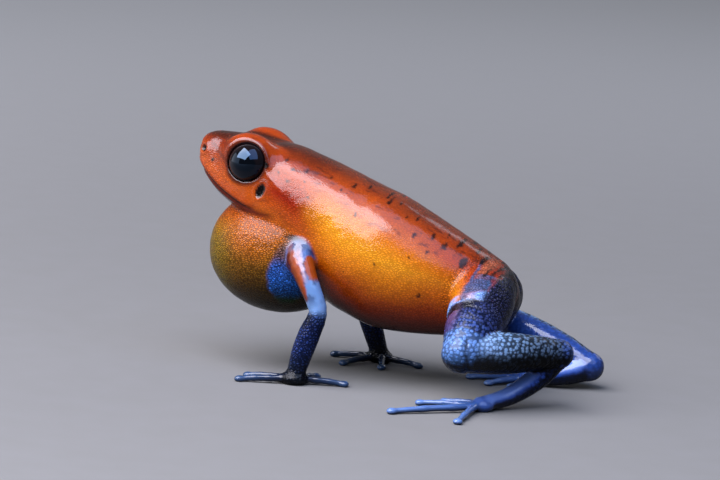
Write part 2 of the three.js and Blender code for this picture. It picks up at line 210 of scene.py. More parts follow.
# The fold inside the bent knee lies this far behind the thigh's middle.
KNEE_FOLD_LEAD = 0.47

# Where the flank's skin ends on the thigh: the share of the thigh it covers, against the distance ahead of
# or behind the thigh's middle.
HIP_EDGE = ((-2.0, -1.6, -0.8, -0.05, 0.5, 0.85, 1.1, 1.6), (0.47, 0.53, 0.56, 0.54, 0.5, 0.42, 0.25, -0.4))

# The grid that the skin is drawn on: each axis's two ends, and its spacing as (place, spacing). It is finer
# over the head and the hands and feet, and is worked through in blocks of lines, those within reach of the
# skin alone.
GRID = (
    (-11.6, 15.9, [(-5.4, 0.092), (-4.0, 0.134)]),
    (-11.9, 8.6, [(0, 0.126)]),
    (-0.3, 15.3, [(0.7, 0.085), (1.6, 0.136), (9.3, 0.136), (10.3, 0.1)]),
)
GRID_BLOCK = 12
GRID_REACH = 2.0
BLOCKS_AT_ONCE = 250
# How far a limb or the head is looked for beyond its own box, how far a Newton step may go, how close to the
# floor the skin is laid flat on it, and the reach of the differences that give the field's slope.
LIMB_REACH = 3.2
HEAD_REACH = 4.0
LONGEST_STEP = 0.08
FLOOR_SNAP = 0.02
SLOPE_REACH = 0.02

# Black specks on the back and flank as s, t and radius, each this share as wide along the body as down it.
# The right side gets them too, each shifted along by its own share of SPECK_SHIFT.
SPECK_WIDTH = 0.7
SPECK_SHIFT = 0.55
SPECKS = [
    (10.4, 2.72, 0.16), (9.9, 2.3, 0.10), (12.5, 2.98, 0.14), (12.8, 2.78, 0.18), (11.45, 1.5, 0.15),
    (13.9, -0.57, 0.16), (15.2, 1.87, 0.16), (16.2, 2.13, 0.2), (16.4, 1.32, 0.16), (17.1, -1.25, 0.2),
    (17.1, 1.95, 0.22), (17.8, 2.29, 0.26), (18.55, 1.5, 0.32), (19.5, 1.95, 0.24), (5.95, 2.4, 0.14),
    (7.65, 1.85, 0.12), (8.25, 1.1, 0.12), (14.2, 2.5, 0.1), (8.9, 2.6, 0.1), (18.9, 2.3, 0.16),
    (6.7, 1.4, 0.1), (20.3, 1.8, 0.2), (15.6, 0.6, 0.08), (12.3, -1.9, 0.08), (1.55, 0.3, 0.15),
    (5.2, 1.95, 0.1), (5.9, 1.6, 0.1), (6.6, 2.1, 0.12), (7.4, 2.35, 0.14), (3.0, -0.95, 0.09),
    (2.2, -0.75, 0.08), (4.2, -1.05, 0.08), (1.1, -0.45, 0.08), (13.4, 2.9, 0.1), (14.8, 2.6, 0.12),
    (16.9, 2.4, 0.1), (19.2, 1.0, 0.1), (11.2, 2.9, 0.1),
]

# The skin's colours are written as they look in the studio's light, and the pigment is this share of them.
PIGMENT = 0.37
# The names of the shares that guide the skin's fine pattern.
SHARES = ("granule", "coarse", "shagreen", "streak", "gloss")
# Grains to the millimetre: the bends in all cells, the granules of the shanks and those elsewhere, the
# leathery grains along, across and out of the body, the dark flecks of the back, the pores, and the tooth
# of the card.
BENDS_PER_MM = 2.2
COARSE_PER_MM = 4.0
FINE_PER_MM = 5.2
LEATHER_PER_MM = (5.4, 6.4, 8.8)
FLECKS_PER_MM = (0.9, 2.6, 2.6)
PORES_PER_MM = 5.0
TOOTH_PER_MM = 0.4

# Lamps: name, place and target in millimetres, sides in metres, the setting that holds the power, and colour.
LAMPS = (
    ("overhead_softbox", (-70, -85, 160), (-4, -2, 9), (0.23, 0.20), "key_power", "#f2f2ff"),
    ("front_softbox", (-220, -60, 30), (-4, 0, 8), (0.28, 0.22), "fill_power", "#f4f6ff"),
    ("sky_panel", (80, -70, 190), (4, -2, 8), (0.17, 0.24), "sky_power", "#b4ccff"),
    ("rim_softbox", (90, 170, 120), (2, 0, 9), (0.12, 0.08), "rim_power", "#eef2ff"),
)
# The floor goes this many metres each way from the middle, with this many lines of points each way.
FLOOR_REACH = 3.0
FLOOR_LINES = 24

# Camera, worked out from the photograph: degrees, millimetres from the lens to the middle of the frog, and
# how many millimetres a pixel covers there.
CAMERA_AZIMUTH = 15.0
CAMERA_ELEVATION = 9.0
CAMERA_ROLL = 4.0
CAMERA_DISTANCE = 230.0
CAMERA_TARGET = np.array([0.0, 0.0, 8.45])
PIXEL = 0.0617
PICTURE_WIDTH = 720
SENSOR_WIDTH = 36.0


def linear(hex_colour):
    """An sRGB hex colour as linear red, green and blue."""
    value = [int(hex_colour[i:i + 2], 16) / 255 for i in (1, 3, 5)]
    return np.array([v / 12.92 if v <= 0.04045 else ((v + 0.055) / 1.055) ** 2.4 for v in value])


def smooth(low, high, x):
    """0 at low and 1 at high, whichever of them is the greater, with a smooth step between."""
    x = np.clip((x - low) / (high - low), 0.0, 1.0)
    return x * x * (3 - 2 * x)


def span(x, start, full, fade, end):
    """0 before start, 1 from full to fade and 0 again after end, with smooth steps between."""
    return smooth(start, full, x) * smooth(end, fade, x)


def bump(x, width):
    """A bell of height 1 at x = 0: e to the power of minus the square of x over the width."""
    return np.exp(-(x / width) ** 2)


def bells(x, profile):
    """A sum of bells along x, from rows of height, place and width."""
    return sum(height * bump(x - place, width) for height, place, width in profile)


def oval(u, v, middle, radii):
    """How far out of an ellipse each place is: 0 at its middle and 1 on its edge."""
    return np.hypot((u - middle[0]) / radii[0], (v - middle[1]) / radii[1])


def inside(u, v, middle, radii, edge=0.25):
    """1 inside the ellipse with that middle and those radii, and 0 outside, with a soft edge."""
    return smooth(1 + edge, 1 - edge, oval(u, v, middle, radii))


def join(a, b, soft):
    """The union of two fields: the lesser, less their overlap within soft squared, over four times soft."""
    h = np.maximum(soft - np.abs(a - b), 0.0) / soft
    return np.minimum(a, b) - h * h * soft * 0.25


def cut(a, b, soft):
    """Field a with field b taken out, rounded over the distance soft."""
    return -join(-a, b, soft)


def through(points, count):
    """A Catmull-Rom curve through the points, as count points at even steps of its parameter."""
    p = np.asarray(points, float)
    p = np.vstack([2 * p[0] - p[1], p, 2 * p[-1] - p[-2]])
    x = np.linspace(0, len(p) - 3, count)
    i = np.minimum(x.astype(int), len(p) - 4)
    x = (x - i)[:, None]
    a, b, c, d = p[i], p[i + 1], p[i + 2], p[i + 3]
    square = 2 * a - 5 * b + 4 * c - d
    cube = 3 * b - a - 3 * c + d
    return 0.5 * (2 * b + (c - a) * x + square * x ** 2 + cube * x ** 3)


def body_place(s, side, t):
    """A point given in body axes, in the pose's axes."""
    return SNOUT_TIP + s * ALONG + t * OUTWARD + side * SIDEWAYS


def body_axes(points):
    """s, side and t of points."""
    w = points - SNOUT_TIP
    return w @ ALONG, points[:, 1], w @ OUTWARD


# Smooth curves through the trunk's stations and the line of the mouth.
TRUNK_CURVE = through(TRUNK, 400)
MOUTH_CURVE = through(MOUTH_LINE, 80)


def trunk_sizes(s):
    """top, bottom, half width, widest level and squareness of the trunk's section at s."""
    return [np.interp(s, TRUNK_CURVE[:, 0], TRUNK_CURVE[:, k]) for k in range(1, 6)]


def trunk_field(points):
    """Distance from the trunk. Each section is a superellipse about its widest level: the side over the
    half width and the rise over the height, each to the same power, add up to 1. All sections are drawn in
    towards the snout and rump by the height of a rounded end there, and the distance is measured out from
    the section's middle."""
    s, side, t = body_axes(points)
    top, bottom, half, widest, square = trunk_sizes(s)
    front = SNOUT_START + SNOUT_SLANT * np.clip(SLANT_TOP - t, 0, SLANT_DEPTH)
    nose = np.clip(1 - (s - front) / SNOUT_ROUND, 0, 1)
    tail = np.clip(1 - (BODY_LENGTH - s) / RUMP_ROUND, 0, 1)
    close = (1 - nose ** SNOUT_SQUARE) ** (1 / SNOUT_SQUARE) * np.sqrt(1 - tail ** 2)
    close = np.maximum(close, 0.05)
    middle = (top + bottom) / 2
    t = middle + (t - middle) / close
    y = np.abs(side) / close
    over = t > widest
    high = np.where(over, top - widest, widest - bottom)
    power = np.where(over, square, BELLY_SQUARE)
    rise = np.abs(t - widest)
    size = ((y / half) ** power + (rise / high) ** power) ** (1 / power)
    reach = np.hypot(y, rise)
    f = (reach - reach / np.maximum(size, 1e-3)) * close
    past = np.maximum(np.maximum(front - s, s - BODY_LENGTH), 0.0)
    return np.where(past > 0, np.hypot(np.maximum(f, 0), past), f)


def ellipsoid_field(points, at, radii, axes=None):
    """Distance from an ellipsoid, to first order: its field over the field's slope. Its radii run along the
    pose's axes, or along axes."""
    p = points - at
    if axes is not None:
        p = p @ axes
    near = np.linalg.norm(p / radii, axis=1)
    slope = np.linalg.norm(p / np.square(radii), axis=1)
    return near * (near - 1) / np.maximum(slope, 1e-6)


def tube_field(points, path, radii, steps):
    """Distance from a tube along a smooth path, as the nearest of steps - 1 straight cones, and the share
    of the path at the nearest place."""
    line = through(path, steps)
    size = through(np.asarray(radii, float)[:, None], steps)[:, 0]
    best = np.full(len(points), FARTHEST)
    share = np.zeros(len(points))
    for i in range(steps - 1):
        a = line[i]
        ab = line[i + 1] - a
        x = np.clip((points - a) @ ab / (ab @ ab), 0, 1)
        d = np.linalg.norm(points - a - x[:, None] * ab, axis=1) - (size[i] + x * (size[i + 1] - size[i]))
        nearer = d < best
        best = np.where(nearer, d, best)
        share = np.where(nearer, (i + x) / (steps - 1), share)
    return best, share


def nearby(points, anchors, reach):
    """Which points lie within reach of the box round the anchors."""
    anchors = np.asarray(anchors, float)
    return ((points > anchors.min(0) - reach) & (points < anchors.max(0) + reach)).all(1)


def digit_field(points, root, knuckle, tip):
    """Distance from a finger or toe, and the share of the way to its tip: a thin tube from the pad, swollen
    by bells at its joints, and joined to a flat round disc."""
    bend = ((knuckle[0] + tip[0]) / 2, (knuckle[1] + tip[1]) / 2)
    path = [(*place, height) for place, height in zip((root, knuckle, bend, tip), DIGIT_HEIGHTS)]
    f, share = tube_field(points, path, [DIGIT_RADIUS * taper for taper in DIGIT_TAPER], steps=10)
    disc = ellipsoid_field(points, (*tip, DIGIT_HEIGHTS[-1] - DISC_DROP), DISC_RADII)
    return join(f - bells(share, DIGIT_BELLS), disc, JOIN["disc"]), share


def limb_field(points, side, kind):
    """Distance from an arm or a leg, and how far down it the nearest place is. That is 0 at the root and a
    whole number at each joint: 1 at the elbow or knee, 2 to 3 along the hand and 3 to 4 along the foot."""
    if kind == "arm":
        limb = ARMS[side]
        f, share = tube_field(points, limb["path"], ARM_RADII, steps=22)
        down = share * 2
        root, height, radii, start = limb["palm"], PALM_HEIGHT, PALM_RADII, 2.0
    else:
        limb = LEGS[side]
        f = np.full(len(points), FAR)
        down = np.zeros(len(points))
        stretches = (("thigh", THIGH_RADII), ("shank", SHANK_RADII), ("tarsus", TARSUS_RADII))
        for i, (name, radii) in enumerate(stretches):
            g, share = tube_field(points, limb[name], radii, steps=12)
            down = np.where(g < f, i + share, down)
            f = join(f, g, JOIN[name])
        root, height, radii, start = limb["tarsus"][-1][:2], SOLE_HEIGHT, SOLE_RADII, 3.0
    pad = ellipsoid_field(points, (*root, height), radii)
    down = np.where(pad < f, start, down)
    f = join(f, pad, JOIN["pad"])
    for knuckle, tip in limb["digits"]:
        g, share = digit_field(points, root, knuckle, tip)
        down = np.where(g < f, start + share, down)
        f = join(f, g, JOIN["digit"])
    return f, down


def limb_points(side, kind):
    """The points that the box round an arm or a leg has to hold: its path, and the tips of its digits."""
    if kind == "arm":
        limb = ARMS[side]
        path = limb["path"] + [(*limb["palm"], 0.0)]
    else:
        limb = LEGS[side]
        path = limb["thigh"] + limb["shank"] + limb["tarsus"]
    return path + [(*tip, 0.0) for _, tip in limb["digits"]]


LIMBS = {(side, kind): limb_points(side, kind) for kind in ("arm", "leg") for side in SIDES}


def eye_centre(side, out=EYE_OUT):
    """The middle of an eye, moved out by some millimetres from where the solids have it."""
    return body_place(EYE_AT[0], SIDES[side] * (EYE_AT[1] + out), EYE_AT[2])


def eye_axis(side):
    """The way an eye looks: out to the side, a little forwards and up."""
    back, out, up = EYE_LOOKS
    a = back * ALONG + SIDES[side] * out * SIDEWAYS + up * OUTWARD
    return a / np.linalg.norm(a)


def skin_parts(points):
    """The distance of points from each form of the body, and how far down each limb they are."""
    parts = {"trunk": trunk_field(points), "sac": ellipsoid_field(points, SAC_AT, SAC_RADII)}
    for key, anchors in LIMBS.items():
        f = np.full(len(points), FAR)
        down = np.zeros(len(points))
        here = nearby(points, anchors, LIMB_REACH)
        if here.any():
            f[here], down[here] = limb_field(points[here], *key)
        parts[key] = f
        parts[key, "down"] = down
    return parts


def skin_field(points):
    """The whole skin as one field: 0 on it and below 0 inside. Its forms are joined with soft creases, a
    socket with a raised rim is cut for each eye, and all that is under the floor is cut off."""
    parts = skin_parts(points)
    f = parts["trunk"]
    head = nearby(points, [SNOUT_TIP, body_place(HEAD_LENGTH, 0, 0)], HEAD_REACH)
    near = points[head]
    g = f[head]
    for sign in SIDES.values():
        lid_at = body_place(LID_AT[0], sign * LID_AT[1], LID_AT[2])
        g = join(g, ellipsoid_field(near, lid_at, LID_RADII, BODY_AXES), JOIN["lid"])
    f[head] = g
    f = join(f, parts["sac"], JOIN["sac"])
    for key in LIMBS:
        f = join(f, parts[key], JOIN[key[1]])
    g = f[head]
    for side in SIDES:
        axis = eye_axis(side)
        out = near - eye_centre(side)
        level = out @ axis
        ring = np.linalg.norm(out - level[:, None] * axis, axis=1)
        opening = LID_OPENING + LID_FLARE * np.maximum(level - LID_LEVEL, 0)
        g = cut(g, np.maximum(LID_LEVEL - level, (ring - opening) * LID_STEEPNESS), JOIN["lid_edge"])
        rim = np.hypot(ring - LID_OPENING - LID_RIM_OUT, level - LID_LEVEL) - LID_RIM_RADIUS
        g = join(g, rim, JOIN["lid_rim"])
        ball = np.linalg.norm(out, axis=1) - EYE_RADIUS + SOCKET_GAP
        g = cut(g, ball, JOIN["socket"])
    f[head] = g
    return np.maximum(f, -points[:, 2])


def lattice(points, seed):
    """A random number from 0 to 1 for each whole-numbered place, the same each run. Each place is
    multiplied by large odd numbers and its bits are stirred, so that neighbours get unlike ones."""
    p = points.astype(np.int64)
    h = (p[:, 0] * 73856093) ^ (p[:, 1] * 19349663) ^ (p[:, 2] * 83492791) ^ (seed * 2654435761)
    h = (h ^ (h >> 13)) * 1274126177
    h = h ^ (h >> 16)
    return (h & 0xFFFFFF) / float(0xFFFFFF)


def mottle(points, size, seed, octaves=3):
    """Soft random variation from -1 to 1: lattice noise whose grain is size, then half of it at half the
    strength, and so on, each shifted so that their grains don't line up."""
    total = np.zeros(len(points))
    weight = 0.0
    for octave in range(octaves):
        p = points / size * 2 ** octave + 37.0 * octave
        base = np.floor(p)
        x = p - base
        x = x * x * (3 - 2 * x)
        value = np.zeros(len(points))
        for corner in range(8):
            c = np.array([corner & 1, corner >> 1 & 1, corner >> 2 & 1])
            share = np.prod(np.where(c, x, 1 - x), axis=1)
            value += share * lattice(base + c, seed + octave)
        total += (2 * value - 1) * 0.5 ** octave
        weight += 0.5 ** octave
    return total / weight


def padded(low, high, steps, block):
    """Grid lines from low to high in whole blocks, whose spacing follows steps of (place, spacing)."""
    places = [low]
    while places[-1] < high:
        places.append(places[-1] + np.interp(places[-1], [p for p, _ in steps], [s for _, s in steps]))
    while len(places) % block:
        places.append(2 * places[-1] - places[-2])
    return np.array(places)


def skin_surface():
    """The skin's vertices and quads. The field is sampled in blocks near the surface, a surface net is
    drawn through it, and two Newton steps, the field over its slope, move its points onto the field."""
    block = GRID_BLOCK
    axes = [padded(low, high, steps, block) for low, high, steps in GRID]
    counts = [len(a) // block for a in axes]
    middles = [a.reshape(-1, block).mean(1) for a in axes]
    centres = np.stack(np.meshgrid(*middles, indexing="ij"), -1).reshape(-1, 3)
    rough = skin_field(centres).reshape(counts)
    grid = np.zeros((counts[0], block, counts[1], block, counts[2], block), np.float32)
    grid[:] = rough[:, None, :, None, :, None]
    active = np.argwhere(np.abs(rough) < GRID_REACH)
    for start in range(0, len(active), BLOCKS_AT_ONCE):
        i, j, k = active[start:start + BLOCKS_AT_ONCE].T
        lines = [a.reshape(-1, block)[n] for a, n in zip(axes, (i, j, k))]
        shape = (len(i), block, block, block)
        x = np.broadcast_to(lines[0][:, :, None, None], shape)
        y = np.broadcast_to(lines[1][:, None, :, None], shape)
        z = np.broadcast_to(lines[2][:, None, None, :], shape)
        values = skin_field(np.stack([x, y, z], -1).reshape(-1, 3))
        grid[i, :, j, :, k, :] = values.reshape(shape)
    grid = grid.reshape([len(a) for a in axes])
    volume = openvdb.FloatGrid(FAR)
    volume.copyFromArray(np.ascontiguousarray(grid))
    points, quads = volume.convertToQuads(0.0)
    points = np.stack([np.interp(points[:, k], np.arange(len(axes[k])), axes[k]) for k in range(3)], axis=1)
    for _ in range(2):
        f, slope = skin_slope(points)
        step = f[:, None] * slope / np.maximum((slope ** 2).sum(1), 0.05)[:, None]
        length = np.linalg.norm(step, axis=1)
        points = points - step * np.minimum(1, LONGEST_STEP / np.maximum(length, 1e-9))[:, None]
    points[:, 2] = np.where(points[:, 2] < FLOOR_SNAP, 0.0, points[:, 2])
    return points, quads


def skin_slope(points):
    """The field at points and its gradient, by differences over a short reach each way along each axis."""
    reach = SLOPE_REACH
    f = skin_field(points)
    slope = np.stack([
        (skin_field(points + reach * axis) - skin_field(points - reach * axis)) / (2 * reach)
        for axis in np.eye(3)
    ], axis=1)
    return f, slope


def body_map(points):
    """Where each point of the skin is: s, side and t; its height q in the section, from 0 at the belly to 1
    at the back; soft shares of the throat sac, arm, leg and hip; how far down its limb it is; lead, how far
    behind the thigh's middle; across, how far behind the arm's middle in radii of the arm; and edge, how
    much more of the thigh the flank's skin covers there."""
    parts = skin_parts(points)
    s, side, t = body_axes(points)
    top, bottom = trunk_sizes(s)[:2]
    trunk = np.minimum(parts["trunk"], 2.5)
    body = np.minimum(trunk, parts["sac"])
    where = {"s": s, "side": side, "t": t, "q": np.clip((t - bottom) / (top - bottom), 0, 1)}
    where["sac"] = smooth(-0.12, 0.12, trunk - parts["sac"])
    nearest = {}
    for kind in ("arm", "leg"):
        near = [parts[name, kind] for name in SIDES]
        nearest[kind] = np.minimum(*near)
        where[kind] = smooth(-0.2, 0.2, body - nearest[kind])
        where[kind, "down"] = np.where(near[0] < near[1], *[parts[(name, kind), "down"] for name in SIDES])
    lead = []
    across = []
    down_thigh = np.linspace(0, 1, 40)
    down_arm = np.linspace(0, 2, 60)
    for name in SIDES:
        thigh = through(LEGS[name]["thigh"], len(down_thigh))[:, 0]
        lead.append(points[:, 0] - np.interp(where["leg", "down"], down_thigh, thigh))
        arm = through(ARMS[name]["path"], len(down_arm))[:, 0]
        middle = np.interp(where["arm", "down"], down_arm, arm)
        size = np.interp(where["arm", "down"] / 2, np.linspace(0, 1, len(ARM_RADII)), ARM_RADII)
        across.append((points[:, 0] - middle) / size)
    where["lead"] = np.where(side < 0, *lead)
    where["across"] = np.where(side < 0, *across)
    down = where["leg", "down"]
    where["edge"] = np.interp(where["lead"], *HIP_EDGE) - down
    hip = smooth(-0.02, 0.02, where["edge"] + 0.012 * mottle(points, 0.5, 41))
    hip *= smooth(1.2, 1.0, down) * smooth(3.9, 4.6, points[:, 2])
    where["hip"] = hip * smooth(0.9, 0.6, nearest["leg"])
    where["leg"] *= 1 - hip
    where["limb"] = np.maximum(where["arm"], where["leg"])
    return where


def mouth_level(s):
    """The t of the line of the mouth at s."""
    return np.interp(s, MOUTH_CURVE[:, 0], MOUTH_CURVE[:, 1])


def nostril_distance(s, side, t):
    """How far a point is from the nearer nostril, seen from the side. The snout's middle is far from both."""
    return oval(s, t, NOSTRIL_AT, NOSTRIL_RADII) + FARTHEST * (np.abs(side) < 0.6)


def relief(points, where):
    """How far the skin stands out beyond its smooth form, in millimetres: the sum of the mouth, lips,
    nostrils, eardrums, folds, wrinkles and creases, each a bell across its own line that fades out where
    the line ends."""
    s, side, t, lead = (where[k] for k in ("s", "side", "t", "lead"))
    down = where["leg", "down"]
    z, out = points[:, 2], np.abs(side)
    trunk = (1 - where["limb"]) * (1 - where["sac"])
    head = trunk * smooth(*HEAD_FADE, s)
    mouth = head * smooth(MOUTH_END + 0.3, MOUTH_END - 0.5, s)
    h = mouth * bells(t - mouth_level(s), LIP_BELLS)
    h += head * bells(nostril_distance(s, side, t), NOSTRIL_BELLS)
    ear = oval(s, t, EAR_AT, EAR_RADII)
    drum = RELIEF["ear_rim"] * bump(ear - 1.25, 0.25) - RELIEF["ear"] * smooth(1.05, 0.8, ear)
    h += head * smooth(*EAR_FADE, out) * drum
    h -= RELIEF["cheek"] * head * bump(s - 2.1, 1.0) * bump(t - 0.5, 0.55) * smooth(1.0, 1.6, out)
    fold = bump(t - (1.35 - 0.35 * (s - 5.0)), 0.22) * span(s, 4.9, 5.5, 6.6, 8.0)
    h += RELIEF["neck_fold"] * trunk * fold * smooth(1.5, 2.5, out)
    wrinkle = mottle(points * np.array([1.0, 1.0, 1.6]), 0.55, 3)
    h += RELIEF["wrinkle"] * wrinkle * (1 - 0.5 * head)
    hip = span(lead, -2.1, -1.7, 0.4, 0.9) * smooth(4.0, 4.8, z) * smooth(0.05, 0.25, where["leg"])
    h += hip * bells(-where["edge"], HIP_BELLS)
    slump = mottle(points, 1.5, 4, octaves=2)
    h += RELIEF["slump"] * slump * (1 - where["arm"]) * (1 - 0.6 * head)
    elbow = where["arm"] * bump(where["arm", "down"] - 1.02, 0.05) * smooth(0.0, 0.8, -where["across"])
    knee = where["leg"] * bump(lead - KNEE_FOLD_LEAD, 0.1) * bump(down - 1.0, 0.06) * smooth(4.9, 4.5, z)
    h -= RELIEF["elbow"] * elbow + RELIEF["knee"] * knee
    return h * smooth(0.0, 0.12, z)


def blend(a, b, share):
    """Colour a, and b over it as thick as share."""
    return a + (b - a) * share[:, None]


def ramp(x, *stops):
    """Colours along x, from stops of place and sRGB hex."""
    places = [p for p, _ in stops]
    colours = np.array([linear(c) for _, c in stops])
    return np.stack([np.interp(x, places, colours[:, k]) for k in range(3)], axis=1)


def paint(colour, *coats):
    """The colour with coats of others over it in turn, each an sRGB hex and a thickness from 0 to 1."""
    for hex_colour, share in coats:
        colour = blend(colour, linear(hex_colour), np.clip(share, 0, 1))
    return colour


def body_colours(points, where, wander):
    """Head, back, flanks and throat: a ramp from belly to back for each stretch of the body, blended, with
    painted shade towards the belly and the sac's bottom.
    """
    s, q = where["s"], where["q"]
    x, z = points[:, 0], points[:, 2]
    height = q + 0.035 * wander
    # Every ramp darkens towards the belly at 0: the belly's own red with painted shade over it. The nape's
    # darker red at 0.55 is painted shade under the neck's fold.
    head = ramp(height, (0.0, "#6a2208"), (0.2, "#a03a09"), (0.35, "#bc500a"), (0.5, "#a44008"),
                (0.72, "#943408"), (0.86, "#742408"), (0.94, "#4e1806"), (1.0, "#3c1205"))
    nape = ramp(height, (0.0, "#8a3a0a"), (0.25, "#bc5a0c"), (0.42, "#b4460a"), (0.55, "#941f04"),
                (0.68, "#a83a08"), (0.8, "#b84c0c"), (0.9, "#8e320a"), (1.0, "#541c07"))
    flank = ramp(height, (0.0, "#3a0c05"), (0.1, "#621a06"), (0.2, "#902e06"), (0.3, "#b44806"),
                 (0.4, "#d06a0a"), (0.5, "#e4820e"), (0.62, "#f09a1c"), (0.72, "#e08016"),
                 (0.8, "#cc640e"), (0.88, "#b04a0c"), (0.95, "#96380c"), (1.0, "#6e280a"))
    rear = ramp(height, (0.0, "#3a0c05"), (0.15, "#822606"), (0.3, "#b03c06"), (0.5, "#ce640c"),
                (0.62, "#d87a12"), (0.74, "#cc6410"), (0.83, "#ac3c0a"), (0.92, "#983409"), (1.0, "#6c260b"))
    colour = blend(head, nape, smooth(4.8, 6.6, s))
    colour = blend(colour, flank, smooth(7.9, 10.4, s + 0.5 * wander - 0.9 * (0.5 - q)))
    colour = blend(colour, rear, smooth(14.6, 18.2, s + 0.4 * wander))

    # The sac darkens towards its bottom: its olive with painted shade under it.
    sack = ramp(z + 0.35 * wander, (3.4, "#1c1404"), (4.2, "#33240a"), (5.2, "#543a0c"), (6.4, "#7c5010"),
                (7.6, "#8e5a12"), (8.8, "#b45e12"), (9.7, "#b8500c"))
    olive = smooth(-6.6, -8.6, x) * smooth(10.0, 8.0, z)
    warm = inside(x, z, (-5.6, 8.3), (1.6, 1.2), 0.6)
    return blend(colour, paint(sack, ("#7c6c12", 0.6 * olive), ("#c86414", 0.5 * warm)), where["sac"])


def throat_patch(points, where, wander, fine):
    """The blue patch beside the arm at the back of the throat sac: how much of it there is at each point,
    and its colour, mauve above, cobalt in the middle and green below. Its outline is a leaning ellipse."""
    x, z = points[:, 0], points[:, 2]
    lean = 0.084 * (z - 6.2)
    share = oval(x - lean, z, (-3.55, 6.35), (1.12, 2.1)) + 0.1 * wander + 0.12 * fine
    share = smooth(1.12, 0.85, share) * smooth(1.6, 2.4, np.abs(where["side"])) * (1 - where["limb"])
    tint = ramp(z, (4.1, "#182a0e"), (4.7, "#244e22"), (5.2, "#2a72d0"), (6.0, "#3c88ff"), (6.9, "#4478e0"),
                (7.5, "#745458"), (8.3, "#8a5434"))
    return share, tint


def arm_colours(where, fine):
    """The arm: a blue arch over the shoulder, a painted highlight as a pale ridge down the middle with an
    orange patch on either side, a pale blue elbow with painted shade inside its bend, and a blue-black forearm
    and hand."""
    down = where["arm", "down"] + 0.03 * fine
    across = where["across"] + 0.15 * fine
    colour = ramp(down, (0.0, "#30497c"), (0.3, "#42609c"), (0.5, "#6286c0"), (0.8, "#6c92c8"),
                  (1.0, "#7aa0d6"), (1.08, "#2c4478"), (1.2, "#1c2c60"), (1.6, "#203470"), (1.9, "#1a2848"),
                  (2.0, "#0e131e"), (2.3, "#121d36"), (2.6, "#1c3050"), (3.0, "#30496e"))
    upper = smooth(0.98, 0.86, down)
    orange = inside(across, down, (-0.62, 0.56), (0.48, 0.3), 0.15)
    orange = np.maximum(orange, inside(across, down, (0.72, 0.56), (0.5, 0.15), 0.15))
    # Painted highlight: a pale pink line down the middle of the upper arm.
    ridge = bump(across, 0.2) * span(down, 0.22, 0.32, 0.6, 0.75)
    arch = smooth(0.45, 0.9, across) * span(down, 0.1, 0.2, 0.34, 0.42)
    outline = upper * smooth(0.25, 0.1, np.abs(orange - 0.5)) * smooth(0.3, 0.45, down)
    # Painted shade inside the elbow's bend.
    under = smooth(0.05, 0.5, -across) * span(down, 0.95, 1.08, 1.2, 1.3)
    return paint(
        colour,
        ("#33476e", 0.75 * smooth(-0.1, 0.3, fine) * upper),
        ("#a0420e", upper * orange),
        ("#3a1008", 0.85 * upper * orange * smooth(0.3, 0.9, -across)),
        ("#c88c80", 0.7 * ridge),
        ("#1c2450", arch),
        ("#4c5874", 0.75 * inside(across, down, (0.0, 0.25), (0.7, 0.12), 0.5)),
        ("#1a1420", 0.6 * outline),
        ("#0c0d1a", 0.7 * under),
    )


def inner_shank(where, down):
    """How much of each point is on the side of the shank that faces the body."""
    return smooth(0.05, 0.45, where["inward"] + 0.1 * where["up"]) * smooth(1.02, 1.12, down)


